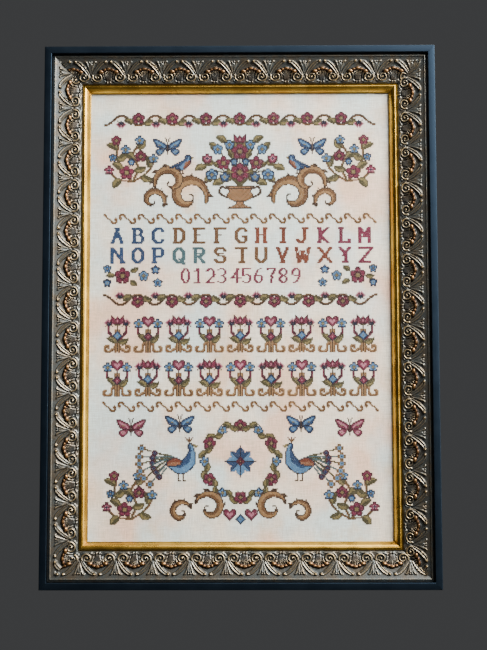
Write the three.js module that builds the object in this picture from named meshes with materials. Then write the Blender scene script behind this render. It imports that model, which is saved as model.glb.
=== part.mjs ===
// A framed cross stitch sampler: embroidered linen on a board, held by a gilt fillet inside a
// carved moulding and a black cap rail, each of four mitred rails.
// Millimetres, +Z up. The front faces -Y and the wall is the plane Y = 0.
// The origin is on the back of the carved top rail, at its middle.
import * as THREE from "three";

// Outer size of the frame
const FRAME_WIDTH = 469;
const FRAME_HEIGHT = 646;
const FRAME_DEPTH = 30;

// Insets, measured inwards from the frame's outer edge
const CAP_WIDTH = 8.5;
const CAP_BEVEL = 0.8;
const CARVED_OUTER = 8.8;
const CARVING_OUTER = 12.8;
const CARVING_INNER = 42;
const CARVED_SIGHT = 44;
const RABBET = 38.4;
const FILLET_OUTER = 38.7;
const FILLET_SHOULDER = 44.3;
const FILLET_SIGHT = 54.4;

// Depths, measured forwards from the wall
const CARVED_NOSE = 26.6;
const NOSE_ROUND = 1.3;
const FIELD_HIGH = 25.4;
const FIELD_LOW = 18.8;
const RABBET_TOP = 14.3;
const FILLET_UNDER = 11.8;
const FILLET_CREST = 17.6;
const LINEN_FRONT = 11.5;
const LINEN_THICKNESS = 1.2;
const FIT_GAP = 0.3;
const BOARD_THICKNESS = 5;

// The carving repeats a shell between two scrolls
const SHELL_PITCH = 43;
const CARVING_WIDTH = CARVING_INNER - CARVING_OUTER;
const FIELD_CURVE = 1.3;

// Where the carving is read: along from a shell's middle, and across from the sight edge outwards
const ALONG_STATIONS = [-14.8, -9, -4.5, 0, 4.5, 9, 14.8, SHELL_PITCH / 2];
const ACROSS_ROWS = [0, 3.4, 7.2, 10.8, 14.4, 18, 21.6, 25.4, CARVING_WIDTH];

// Rounded forms of one repeat, alike on both sides of the shell's middle
const CARVED_FORMS = [
  { form: "shell fan", along: 0, across: 9.8, halfAlong: 7.5, halfAcross: 7.5, rise: 2.3 },
  { form: "shell crest", along: 0, across: 17.4, halfAlong: 6.5, halfAcross: 3.2, rise: 3.4 },
  { form: "volute", along: 14.8, across: 7.3, halfAlong: 5, halfAcross: 4.9, rise: 2.5 },
  { form: "scroll bud", along: 3.8, across: 25.8, halfAlong: 3.2, halfAcross: 2.6, rise: 2.7 },
  { form: "leaf tip", along: 21.3, across: 24.3, halfAlong: 3.4, halfAcross: 4.7, rise: 2.1 },
  { form: "sight scroll", along: 8, across: 2.2, halfAlong: 6, halfAcross: 1.8, rise: 1.4 },
];

// The scroll's arm runs from beside the volute, over the shell, to the bud
const SCROLL_ARM = {
  start: new THREE.Vector2(19.5, 12.2),
  end: new THREE.Vector2(5, 25.6),
  halfWidth: 2.9,
  rise: 2.4,
};

// The four rails: the turn about Y from the top rail's place, and how far the nearest shell's
// middle lies from the rail's middle
const SIDES = [
  { side: "top", turn: 0, length: FRAME_WIDTH, reach: FRAME_HEIGHT / 2, shellOffset: 13.5 },
  { side: "right", turn: Math.PI / 2, length: FRAME_HEIGHT, reach: FRAME_WIDTH / 2, shellOffset: -8 },
  { side: "bottom", turn: Math.PI, length: FRAME_WIDTH, reach: FRAME_HEIGHT / 2, shellOffset: -4.9 },
  { side: "left", turn: -Math.PI / 2, length: FRAME_HEIGHT, reach: FRAME_WIDTH / 2, shellOffset: 13.4 },
];

// Half of the gap between two rails at a mitre, along the rail
const MITRE_GAP = (FIT_GAP / 2) * Math.SQRT2;
const CORNER_ZONE = 12;
const CORNER_STEPS = 5;

// The frame's middle, seen from the origin
const BACK_MIDDLE = (CARVED_OUTER + RABBET) / 2;
const CENTRE_HEIGHT = BACK_MIDDLE - FRAME_HEIGHT / 2;

const blackLacquer = new THREE.MeshStandardMaterial({ color: 0x15171b, roughness: 0.35, metalness: 0 });
const antiqueGilt = new THREE.MeshStandardMaterial({ color: 0x7f7460, roughness: 0.45, metalness: 0.7 });
const brightGilt = new THREE.MeshStandardMaterial({ color: 0xb8892f, roughness: 0.35, metalness: 0.9 });
const flaxLinen = new THREE.MeshStandardMaterial({ color: 0xd8d2c6, roughness: 0.9, metalness: 0 });
const greyBoard = new THREE.MeshStandardMaterial({ color: 0xa89f8f, roughness: 0.95, metalness: 0 });

// How far the carving stands out of its field at a point of the repeat
function carvedRise(along, across) {
  const fromShell = along - SHELL_PITCH * Math.round(along / SHELL_PITCH);
  const point = new THREE.Vector2(Math.abs(fromShell), across);
  const rises = CARVED_FORMS.map((f) => {
    const share = ((point.x - f.along) / f.halfAlong) ** 2 + ((point.y - f.across) / f.halfAcross) ** 2;
    return f.rise * Math.sqrt(Math.max(0, 1 - share));
  });
  const arm = SCROLL_ARM.end.clone().sub(SCROLL_ARM.start);
  const step = THREE.MathUtils.clamp(point.clone().sub(SCROLL_ARM.start).dot(arm) / arm.lengthSq(), 0, 1);
  const nearest = SCROLL_ARM.start.clone().addScaledVector(arm, step);
  const armShare = (point.distanceTo(nearest) / SCROLL_ARM.halfWidth) ** 2;
  rises.push(SCROLL_ARM.rise * Math.sqrt(Math.max(0, 1 - armShare)));
  return Math.max(...rises);
}

// The carving's field falls towards the picture in a shallow hollow
function fieldDepth(across) {
  return FIELD_LOW + (FIELD_HIGH - FIELD_LOW) * (across / CARVING_WIDTH) ** FIELD_CURVE;
}

const capOutline = [
  { inward: 0, depth: 0 },
  { inward: 0, depth: FRAME_DEPTH - CAP_BEVEL },
  { inward: CAP_BEVEL, depth: FRAME_DEPTH },
  { inward: CAP_WIDTH - CAP_BEVEL, depth: FRAME_DEPTH },
  { inward: CAP_WIDTH, depth: FRAME_DEPTH - CAP_BEVEL },
  { inward: CAP_WIDTH, depth: 0 },
];

const fieldRows = ACROSS_ROWS.toReversed().map((across) => ({
  inward: CARVING_INNER - across,
  depth: fieldDepth(across),
}));

// The moulding's face, with a rounded nose outside the carving and a bead at the sight edge
const carvedFace = [
  { inward: CARVED_OUTER, depth: CARVED_NOSE - NOSE_ROUND },
  { inward: CARVED_OUTER + NOSE_ROUND, depth: CARVED_NOSE },
  { inward: CARVING_OUTER - NOSE_ROUND, depth: CARVED_NOSE - 0.2 },
  ...fieldRows,
  { inward: CARVED_SIGHT - 1.4, depth: FIELD_LOW + 0.9 },
  { inward: CARVED_SIGHT, depth: FIELD_LOW - 0.4 },
].map((point) => ({ ...point, across: CARVING_INNER - point.inward }));

const carvedOutline = [
  { inward: CARVED_OUTER, depth: 0 },
  ...carvedFace,
  { inward: CARVED_SIGHT, depth: RABBET_TOP },
  { inward: RABBET, depth: RABBET_TOP },
  { inward: RABBET, depth: 0 },
];

// The fillet's flange lies under the moulding's lip; beyond it a crest falls to a thin lip
const filletOutline = [
  { inward: FILLET_OUTER, depth: FILLET_UNDER },
  { inward: FILLET_OUTER, depth: RABBET_TOP - FIT_GAP },
  { inward: FILLET_SHOULDER, depth: RABBET_TOP - FIT_GAP },
  { inward: FILLET_SHOULDER, depth: FILLET_CREST - 2 },
  { inward: FILLET_SHOULDER + 1.5, depth: FILLET_CREST - 0.7 },
  { inward: FILLET_SHOULDER + 2.8, depth: FILLET_CREST },
  { inward: FILLET_SHOULDER + 3.9, depth: FILLET_CREST },
  { inward: FILLET_SHOULDER + 5.1, depth: FILLET_CREST - 0.6 },
  { inward: FILLET_SIGHT - 2, depth: FILLET_UNDER + 2.8 },
  { inward: FILLET_SIGHT - 0.5, depth: FILLET_UNDER + 2 },
  { inward: FILLET_SIGHT, depth: FILLET_UNDER + 1.4 },
  { inward: FILLET_SIGHT, depth: FILLET_UNDER },
];

// Places along a rail: fixed ones under the carving, then a fan that spreads to the mitre
function stationsOf(length, shellOffset) {
  const fixedReach = length / 2 - CARVED_SIGHT - CORNER_ZONE;
  const repeats = Math.ceil(length / SHELL_PITCH);
  const fixed = [];
  for (let n = -repeats; n <= repeats; n += 1) {
    ALONG_STATIONS.forEach((along) => fixed.push(shellOffset + n * SHELL_PITCH + along));
  }
  const inside = fixed.filter((along) => Math.abs(along) < fixedReach - 1).sort((a, b) => a - b);
  const fan = Array.from({ length: CORNER_STEPS + 1 }, (_, k) => k / CORNER_STEPS);
  return [
    ...fan.toReversed().map((share) => ({ end: -1, share })),
    ...inside.map((along) => ({ along })),
    ...fan.map((share) => ({ end: 1, share })),
  ].map((station) => ({ ...station, fixedReach }));
}

// A station's place along the rail in a row of the given inset
function placeOf(station, length, inward) {
  if (station.along !== undefined) return station.along;
  const mitre = length / 2 - inward - MITRE_GAP;
  return station.end * THREE.MathUtils.lerp(station.fixedReach, mitre, station.share);
}

// Triangles between two neighbouring rows, which have as many stations or two in one of them
function strip(row, next) {
  const last = row.length - 1;
  const nextLast = next.length - 1;
  const faces = [];
  if (last > nextLast) {
    for (let j = 0; j < last; j += 1) faces.push([row[j], next[0], row[j + 1]]);
    faces.push([next[0], next[1], row[last]]);
  } else if (nextLast > last) {
    for (let j = 0; j < nextLast; j += 1) faces.push([row[0], next[j], next[j + 1]]);
    faces.push([row[0], next[nextLast], row[1]]);
  } else {
    for (let j = 0; j < last; j += 1) {
      faces.push([row[j], next[j], next[j + 1]], [row[j], next[j + 1], row[j + 1]]);
    }
  }
  return faces;
}

// One closed rail: the outline carried from mitre to mitre. Rows with an across value are carved.
function railGeometry(outline, length, shellOffset) {
  const carvedStations = stationsOf(length, shellOffset);
  const plainStations = [carvedStations[0], carvedStations.at(-1)];
  const positions = [];
  const rows = outline.map((point) => {
    const stations = point.across === undefined ? plainStations : carvedStations;
    return stations.map((station) => {
      const along = placeOf(station, length, point.inward);
      const rise = point.across === undefined ? 0 : carvedRise(along - shellOffset, point.across);
      positions.push(along, -(point.depth + rise), -point.inward);
      return positions.length / 3 - 1;
    });
  });

  const faces = rows.flatMap((row, i) => strip(row, rows[(i + 1) % rows.length]));
  [0, -1].forEach((end) => {
    const rim = rows.map((row) => row.at(end));
    const contour = rim.map((i) => new THREE.Vector2(positions[3 * i + 2], positions[3 * i + 1]));
    THREE.ShapeUtils.triangulateShape(contour, []).forEach((corners) => {
      const face = corners.map((corner) => rim[corner]);
      faces.push(end === 0 ? face : face.reverse());
    });
  });

  const geometry = new THREE.BufferGeometry();
  geometry.setAttribute("position", new THREE.Float32BufferAttribute(positions, 3));
  geometry.setIndex(faces.flat());
  return geometry;
}

// Four rails of one moulding round the frame's middle
function mitredFrame(name, outline, material) {
  const frame = new THREE.Group();
  SIDES.forEach(({ side, turn, length, reach, shellOffset }) => {
    const rail = new THREE.Mesh(railGeometry(outline, length, shellOffset), material);
    rail.name = `${name}_${side}`;
    rail.position.z = reach;
    const corner = new THREE.Group();
    corner.rotation.y = turn;
    corner.add(rail);
    frame.add(corner);
  });
  return frame;
}

// A flat layer behind the fillet, its front at the given depth
function layer(name, front, thickness, material) {
  const width = FRAME_WIDTH - 2 * FILLET_OUTER;
  const height = FRAME_HEIGHT - 2 * FILLET_OUTER;
  const mesh = new THREE.Mesh(new THREE.BoxGeometry(width, thickness, height), material);
  mesh.name = name;
  mesh.position.y = -(front - thickness / 2);
  return mesh;
}

const linenBack = LINEN_FRONT - LINEN_THICKNESS;
const sampler = new THREE.Group();
sampler.add(
  mitredFrame("cap_rail", capOutline, blackLacquer),
  mitredFrame("carved_rail", carvedOutline, antiqueGilt),
  mitredFrame("gilt_fillet", filletOutline, brightGilt),
  layer("linen", LINEN_FRONT, LINEN_THICKNESS, flaxLinen),
  layer("mount_board", linenBack - FIT_GAP, BOARD_THICKNESS, greyBoard),
);
sampler.position.z = CENTRE_HEIGHT;

export default sampler;
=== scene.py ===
"""A framed cross stitch sampler, dressed round its fixed solids.

Blender's units are metres. X runs to the right of someone who faces the picture, Z up, and the
front of the frame looks along -Y. Sizes in the classes are millimetres. A place on a rail is given
by its distance along the rail from the rail's middle, inwards from the frame's outer edge, and
forwards from the wall.
"""
import logging
import math
from dataclasses import dataclass, field
from enum import Enum
from typing import NamedTuple, Sequence

import bpy
import numpy as np
from mathutils import Matrix, Vector


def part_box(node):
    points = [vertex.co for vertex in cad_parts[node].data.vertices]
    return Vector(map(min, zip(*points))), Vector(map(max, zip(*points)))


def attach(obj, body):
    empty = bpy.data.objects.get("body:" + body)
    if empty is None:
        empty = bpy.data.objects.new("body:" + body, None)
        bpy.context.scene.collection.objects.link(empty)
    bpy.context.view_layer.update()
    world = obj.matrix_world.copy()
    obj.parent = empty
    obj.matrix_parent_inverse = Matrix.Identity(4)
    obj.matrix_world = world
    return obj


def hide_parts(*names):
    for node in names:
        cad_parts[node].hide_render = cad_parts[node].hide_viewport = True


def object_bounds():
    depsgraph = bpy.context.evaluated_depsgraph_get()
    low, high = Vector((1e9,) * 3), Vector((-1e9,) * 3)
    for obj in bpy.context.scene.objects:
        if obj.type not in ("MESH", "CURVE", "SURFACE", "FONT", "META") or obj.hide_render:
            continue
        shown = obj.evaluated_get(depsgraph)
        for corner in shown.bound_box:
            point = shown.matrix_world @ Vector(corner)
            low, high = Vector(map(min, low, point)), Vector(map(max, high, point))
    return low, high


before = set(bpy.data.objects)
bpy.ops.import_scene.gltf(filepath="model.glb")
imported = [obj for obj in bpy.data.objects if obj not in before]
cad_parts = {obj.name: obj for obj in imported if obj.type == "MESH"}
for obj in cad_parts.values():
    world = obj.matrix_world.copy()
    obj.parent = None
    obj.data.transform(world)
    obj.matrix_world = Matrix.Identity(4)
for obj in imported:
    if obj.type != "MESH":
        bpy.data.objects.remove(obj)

CAD_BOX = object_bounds()
BODY = "root"
MM = 0.001
LOG = logging.getLogger("sampler")

Colour = tuple[float, float, float, float]
Triple = tuple[float, float, float]
Path = Sequence[tuple[float, float]]
Socket = bpy.types.NodeSocket
Feed = bpy.types.NodeSocket | float | Colour


def linear(rgb: int) -> Colour:
    """Turns an sRGB colour into the linear colour that a shader takes.

    Args:
        rgb: The colour as one number, red first, as on a colour card.

    Returns:
        Linear red, green and blue, and a full alpha.
    """
    parts = [((rgb >> shift) & 255) / 255 for shift in (16, 8, 0)]
    return tuple(p / 12.92 if p < 0.04045 else ((p + 0.055) / 1.055) ** 2.4 for p in parts) + (1.0,)


def dimmed(colour: Colour, share: float) -> Colour:
    """The colour at a share of its brightness."""
    return tuple(part * share for part in colour[:3]) + (1.0,)


def spline(points: Path, samples: int = 200) -> np.ndarray:
    """Draws a smooth curve through a few points.

    Args:
        points: The points that the curve passes through, in order.
        samples: How many points the curve gets.

    Returns:
        An array of samples by two.
    """
    p = np.asarray(points, float)
    p = np.vstack([2 * p[0] - p[1], p, 2 * p[-1] - p[-2]])
    step = np.linspace(0, len(p) - 3 - 1e-9, samples)
    first = step.astype(int)
    f = (step - first)[:, None]
    a, b, c, d = (p[first + k] for k in range(4))
    return 0.5 * (2 * b + (c - a) * f + (2 * a - 5 * b + 4 * c - d) * f**2 + (3 * b - a - 3 * c + d) * f**3)


class Side(Enum):
    """The four rails: each one's name and its turn about Y from the top rail's place."""

    TOP = ("top", 0.0)
    RIGHT = ("right", math.pi / 2)
    BOTTOM = ("bottom", math.pi)
    LEFT = ("left", -math.pi / 2)

    @property
    def label(self) -> str:
        """The side's name, as the nodes have it."""
        return self.value[0]

    @property
    def turn(self) -> float:
        """The rail's turn about Y, in radians."""
        return self.value[1]

    @property
    def level(self) -> bool:
        """Whether the rail runs from left to right."""
        return self in (Side.TOP, Side.BOTTOM)


@dataclass(frozen=True)
class FrameSize:
    """The frame's outer size, read from its solids."""

    width: float
    height: float
    centre: float

    @classmethod
    def from_box(cls, low: Vector, high: Vector) -> "FrameSize":
        """Reads the size from the whole object's box, which is in metres."""
        return cls((high.x - low.x) / MM, (high.z - low.z) / MM, (high.z + low.z) / 2 / MM)

    def length(self, side: Side) -> float:
        """The outer length of a rail."""
        return self.width if side.level else self.height

    def place(self, side: Side, along: np.ndarray, inward: np.ndarray, depth: np.ndarray) -> np.ndarray:
        """Finds points on a rail.

        Args:
            side: The rail.
            along: Distances from the rail's middle.
            inward: Distances from the frame's outer edge.
            depth: Distances forwards from the wall.

        Returns:
            The points in metres, in the last axis of the array.
        """
        reach = (self.height if side.level else self.width) / 2
        along, up, depth = np.broadcast_arrays(along, reach - np.asarray(inward, float), depth)
        x = along * math.cos(side.turn) + up * math.sin(side.turn)
        z = up * math.cos(side.turn) - along * math.sin(side.turn) + self.centre
        return np.stack([x, -depth, z], -1) * MM


@dataclass
class Skin:
    """Points and faces gathered for one mesh."""

    points: list[np.ndarray] = field(default_factory=list)
    faces: list[list[int]] = field(default_factory=list)
    count: int = 0

    def add(self, points: np.ndarray) -> np.ndarray:
        """Adds points.

        Args:
            points: An array with X, Y and Z in its last axis, in metres.

        Returns:
            The points' numbers, in the shape of the array without its last axis.
        """
        numbers = np.arange(points[..., 0].size).reshape(points.shape[:-1]) + self.count
        self.points.append(points.reshape(-1, 3))
        self.count += numbers.size
        return numbers

    def grid(self, numbers: np.ndarray) -> None:
        """Adds the four-sided faces between neighbouring rows and columns of points."""
        quads = np.stack([numbers[:-1, :-1], numbers[1:, :-1], numbers[1:, 1:], numbers[:-1, 1:]], -1)
        self.faces.extend(quads.reshape(-1, 4).tolist())

    def between(self, row: np.ndarray, after: np.ndarray) -> None:
        """Joins two rows of points by quads, or by one face where their counts differ.

        Args:
            row: The numbers of one row's points.
            after: The numbers of the next row's points.
        """
        if len(row) == len(after):
            self.grid(np.stack([row, after]))
        else:
            self.faces.append([int(row[0]), *after.tolist(), *row[:0:-1].tolist()])

    def mesh(self, name: str, crease: float = 50.0) -> bpy.types.Mesh:
        """Makes the mesh.

        Args:
            name: The mesh's name.
            crease: Edges that turn by more than this many degrees stay sharp.

        Returns:
            The mesh, shaded smooth between its creases.
        """
        made = bpy.data.meshes.new(name)
        made.from_pydata(np.concatenate(self.points).tolist(), [], self.faces)
        made.shade_smooth()
        made.set_sharp_from_angle(angle=math.radians(crease))
        made.update()
        return made


def fit(name: str, mesh: bpy.types.Mesh, material: bpy.types.Material,
        nodes: Sequence[str] = ()) -> bpy.types.Object:
    """Puts a finished piece in the scene, in the place that its mesh already has.

    Args:
        name: The piece's name.
        mesh: Its mesh, in the object's own frame.
        material: Its finish.
        nodes: The solids that the piece stands for.

    Returns:
        The piece.
    """
    piece = bpy.data.objects.new(name, mesh)
    bpy.context.scene.collection.objects.link(piece)
    mesh.materials.append(material)
    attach(piece, BODY)
    if nodes:
        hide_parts(*nodes)
    LOG.info("%s: %d faces", name, len(mesh.polygons))
    return piece


class Cloud(NamedTuple):
    """Noise: the size of its patches in millimetres, its finer layers, and how strong they are."""

    size: float
    layers: float = 3.0
    strength: float = 0.55


class Grain(NamedTuple):
    """Streaks: how many to a metre along and across them, their finer layers, and how strong they are."""

    along: float
    across: float
    layers: float
    strength: float


class Span(NamedTuple):
    """A mapping: its lowest and highest result, and the values that give them."""

    low: float
    high: float
    start: float = 0.0
    end: float = 1.0


class Bump(NamedTuple):
    """A bump's depth in millimetres, and its strength up to 1."""

    depth: float
    strength: float = 1.0


class Recipe:
    """One material under construction: a Principled surface and the nodes that feed it."""

    # A band texture of scale 1 turns through this many radians in a metre.
    WAVE_RATE = 20.0
    # The sockets that a mix node has for colours, among those for numbers and vectors.
    MIX_INPUTS = (0, 6, 7)
    MIX_OUTPUT = 2

    def __init__(self, name: str) -> None:
        """Starts a material whose patterns lie in the object's own frame, in metres.

        Args:
            name: The material's name.
        """
        self.material = bpy.data.materials.new(name)
        self.material.use_nodes = True
        self.tree = self.material.node_tree
        self.surface = self.tree.nodes["Principled BSDF"]
        self.place = self.node("ShaderNodeTexCoord").outputs["Object"]

    def node(self, kind: str, **settings: str | bool) -> bpy.types.Node:
        """Adds a node and sets its properties.

        Args:
            kind: The node's type.
            **settings: Its properties, by name.

        Returns:
            The node.
        """
        made = self.tree.nodes.new(kind)
        for key, value in settings.items():
            setattr(made, key, value)
        return made

    def feed(self, socket: Socket, value: Feed) -> None:
        """Links a socket to another node's output, or gives it a plain value.

        Args:
            socket: The socket that takes the value.
            value: The other node's socket, or the plain value.
        """
        if isinstance(value, Socket):
            self.tree.links.new(value, socket)
        else:
            socket.default_value = value

    def stretched(self, scale: Triple, turn: Triple = (0, 0, 0)) -> Socket:
        """The place with each axis scaled, for patterns that run one way.

        Args:
            scale: The scale of each axis.
            turn: The turn about each axis, in radians.

        Returns:
            The scaled place's socket.
        """
        mapping = self.node("ShaderNodeMapping")
        self.feed(mapping.inputs["Vector"], self.place)
        mapping.inputs["Scale"].default_value = scale
        mapping.inputs["Rotation"].default_value = turn
        return mapping.outputs["Vector"]

    def noise(self, size: float, layers: float = 3.0, strength: float = 0.55,
              place: Socket | None = None) -> Socket:
        """Cloudy noise.

        Args:
            size: The size of its patches in millimetres, or 1 where the place is already scaled.
            layers: How many finer layers it has.
            strength: How strong those layers are.
            place: The coordinates, if they aren't the object's own.

        Returns:
            The noise's value socket.
        """
        made = self.node("ShaderNodeTexNoise")
        self.feed(made.inputs["Vector"], self.place if place is None else place)
        made.inputs["Scale"].default_value = 1.0 if place is not None else 1 / (size * MM)
        made.inputs["Detail"].default_value = layers
        made.inputs["Roughness"].default_value = strength
        return made.outputs["Fac"]

    def streaks(self, level: bool, grain: Grain) -> Socket:
        """Noise drawn out into streaks.

        Args:
            level: Whether the streaks run level and not upright.
            grain: The streaks' scales and layers.

        Returns:
            The streaks' value socket.
        """
        along, across = grain.along, grain.across
        scale = (along, across, across) if level else (across, across, along)
        return self.noise(1, grain.layers, grain.strength, self.stretched(scale))

    def threads(self, pitch: float, axis: str) -> Socket:
        """Even ridges across an axis, one for each thread.

        Args:
            pitch: The distance from thread to thread, in millimetres.
            axis: The axis that the ridges follow one another along.

        Returns:
            The ridges' value socket.
        """
        wave = self.node("ShaderNodeTexWave", wave_type="BANDS", bands_direction=axis, wave_profile="SIN")
        self.feed(wave.inputs["Vector"], self.place)
        wave.inputs["Scale"].default_value = 2 * math.pi / (self.WAVE_RATE * pitch * MM)
        return wave.outputs["Fac"]

    def mix(self, factor: Feed, first: Feed, second: Feed) -> Socket:
        """Mixes two colours.

        Args:
            factor: The second colour's share.
            first: The first colour.
            second: The second colour.

        Returns:
            The mixed colour's socket.
        """
        made = self.node("ShaderNodeMix", data_type="RGBA")
        for number, value in zip(self.MIX_INPUTS, (factor, first, second)):
            self.feed(made.inputs[number], value)
        return made.outputs[self.MIX_OUTPUT]

    def span(self, value: Feed, span: Span) -> Socket:
        """Maps a value onto another span, and keeps it inside.

        Args:
            value: The value.
            span: The mapping.

        Returns:
            The mapped value's socket.
        """
        made = self.node("ShaderNodeMapRange", clamp=True)
        self.feed(made.inputs["Value"], value)
        limits = {"From Min": span.start, "From Max": span.end, "To Min": span.low, "To Max": span.high}
        for name, number in limits.items():
            made.inputs[name].default_value = number
        return made.outputs["Result"]

    def sum(self, first: Feed, second: Feed, operation: str = "ADD") -> Socket:
        """Adds two values, or combines them by another operation.

        Args:
            first: The first value.
            second: The second value.
            operation: The operation of the math node.

        Returns:
            The result's socket.
        """
        made = self.node("ShaderNodeMath", operation=operation)
        self.feed(made.inputs[0], first)
        self.feed(made.inputs[1], second)
        return made.outputs[0]

    def attribute(self, name: str) -> Socket:
        """A value that is stored on the mesh's points."""
        return self.node("ShaderNodeAttribute", attribute_name=name).outputs["Fac"]

    def bump(self, height: Feed, bump: Bump, under: Socket | None = None) -> Socket:
        """A bump from a height between 0 and 1.

        Args:
            height: The height.
            bump: The bump's depth and strength.
            under: The bump that it lies on, if there is one.

        Returns:
            The bumped normal's socket.
        """
        made = self.node("ShaderNodeBump")
        self.feed(made.inputs["Height"], height)
        made.inputs["Distance"].default_value = bump.depth * MM
        made.inputs["Strength"].default_value = bump.strength
        if under is not None:
            self.feed(made.inputs["Normal"], under)
        return made.outputs["Normal"]

    def finish(self, colour: Feed, roughness: Feed, normal: Socket | None = None, metallic: float = 0.0,
               sheen: float = 0.0) -> bpy.types.Material:
        """Feeds the surface.

        Args:
            colour: The base colour, or the socket that gives it.
            roughness: The roughness, or the socket that gives it.
            normal: The bump's socket, if there is one.
            metallic: How metallic the surface is.
            sheen: The soft glow of fibres at grazing angles.

        Returns:
            The material.
        """
        self.feed(self.surface.inputs["Base Color"], colour)
        self.feed(self.surface.inputs["Roughness"], roughness)
        self.surface.inputs["Metallic"].default_value = metallic
        self.surface.inputs["Sheen Weight"].default_value = sheen
        if normal is not None:
            self.feed(self.surface.inputs["Normal"], normal)
        return self.material


@dataclass(frozen=True)
class BlackLacquer:
    """Satin black lacquer with a trace of the wood's grain."""

    colour: Colour = linear(0x020305)
    rubbed: Colour = linear(0x05070A)
    # Painted reflection colour: the lacquer's reflections are tinted blue, standing in for blue window light.
    gleam: Colour = (0.35, 0.62, 1.0, 1.0)
    specular: float = 0.36
    grain: Grain = Grain(25.0, 900.0, 4, 0.6)
    cloud: Cloud = Cloud(22)
    rubbing: Span = Span(0, 0.5, 0.45, 0.75)
    dulling: Span = Span(0.4, 0.48, 0.1, 0.45)
    grain_bump: Bump = Bump(0.04)

    def material(self, level: bool) -> bpy.types.Material:
        """Makes the lacquer, with its grain along the rail.

        Args:
            level: Whether it is for a level rail and not an upright one.

        Returns:
            The material.
        """
        recipe = Recipe("lacquer_level" if level else "lacquer_upright")
        grain = recipe.streaks(level, self.grain)
        cloud = recipe.noise(*self.cloud)
        colour = recipe.mix(recipe.span(cloud, self.rubbing), self.colour, self.rubbed)
        roughness = recipe.span(recipe.sum(cloud, grain, "MULTIPLY"), self.dulling)
        # Painted reflection colour: a blue tint on every reflection, standing in for blue window light.
        recipe.surface.inputs["Specular Tint"].default_value = self.gleam
        recipe.surface.inputs["Specular IOR Level"].default_value = self.specular
        return recipe.finish(colour, roughness, recipe.bump(grain, self.grain_bump))


@dataclass(frozen=True)
class AntiqueGilt:
    """Toned metal leaf on carving: dark in its hollows, red-brown on its shells, and pale on its crests, from
    wear and a painted highlight.
    """

    glaze: Colour = linear(0x12100D)
    ground: Colour = linear(0x525655)
    ground_warm: Colour = linear(0x5A5348)
    # Pale leaf for the highest carving: wear and a painted highlight.
    crest: Colour = linear(0xA8946C)
    bronze_low: Colour = linear(0x241009)
    bronze_high: Colour = linear(0x8A6840)
    cloud: Cloud = Cloud(9, 4)
    speck: Cloud = Cloud(0.9, 2)
    speckling: Span = Span(-0.12, 0.12, 0.3, 0.7)
    warming: Span = Span(0, 1, 0.4, 0.65)
    silvering: Span = Span(0, 1, 0.5, 1.05)
    bronzing: Span = Span(0, 1, 0.75, 1.15)
    glazing: Span = Span(0, 0.85, 0.1, 0.9)
    dulling: Span = Span(0.3, 0.62)
    roughening: Span = Span(-0.05, 0.1, 0.3, 0.7)
    speck_bump: Bump = Bump(0.06, 0.6)
    cloud_bump: Bump = Bump(0.25, 0.5)
    metallic: float = 0.8

    def material(self) -> bpy.types.Material:
        """Makes the gilt from the wear and painted highlight, warmth and hollow that the carving's points
        hold.

        Returns:
            The material.
        """
        recipe = Recipe("antique_gilt")
        relief, warmth, hollow = (recipe.attribute(name) for name in ("relief", "warmth", "hollow"))
        cloud = recipe.noise(*self.cloud)
        speck = recipe.noise(*self.speck)
        # Wear and painted highlight: the highest carving turns pale, silver on the scrolls and lighter bronze
        # on the shells.
        wear_and_highlight = recipe.sum(relief, recipe.span(speck, self.speckling))
        ground = recipe.mix(recipe.span(cloud, self.warming), self.ground, self.ground_warm)
        silver = recipe.mix(recipe.span(wear_and_highlight, self.silvering), ground, self.crest)
        bronze = recipe.mix(recipe.span(wear_and_highlight, self.bronzing), self.bronze_low, self.bronze_high)
        leaf = recipe.mix(warmth, silver, bronze)
        toned = recipe.mix(recipe.span(hollow, self.glazing), leaf, self.glaze)
        roughness = recipe.sum(recipe.span(hollow, self.dulling), recipe.span(speck, self.roughening))
        normal = recipe.bump(cloud, self.cloud_bump, recipe.bump(speck, self.speck_bump))
        return recipe.finish(toned, roughness, normal, metallic=self.metallic)


@dataclass(frozen=True)
class BurnishedGilt:
    """Bright gold leaf, rubbed a little thin."""

    deep: Colour = linear(0x9E7A2E)
    bright: Colour = linear(0xBE9840)
    bole: Colour = linear(0x8A5A28)
    cloud: Cloud = Cloud(30)
    rub: Cloud = Cloud(1.6)
    brightening: Span = Span(0, 1, 0.35, 0.65)
    thinning: Span = Span(0, 0.3, 0.64, 0.82)
    roughening: Span = Span(0.24, 0.3, 0.3, 0.7)
    rub_bump: Bump = Bump(0.015, 0.4)
    metallic: float = 0.97

    def material(self) -> bpy.types.Material:
        """Makes the gold with faint laps of the leaf and a little red clay showing.

        Returns:
            The material.
        """
        recipe = Recipe("burnished_gilt")
        cloud = recipe.noise(*self.cloud)
        rub = recipe.noise(*self.rub)
        leaf = recipe.mix(recipe.span(cloud, self.brightening), self.deep, self.bright)
        colour = recipe.mix(recipe.span(rub, self.thinning), leaf, self.bole)
        roughness = recipe.span(cloud, self.roughening)
        return recipe.finish(colour, roughness, recipe.bump(rub, self.rub_bump), metallic=self.metallic)


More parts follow.
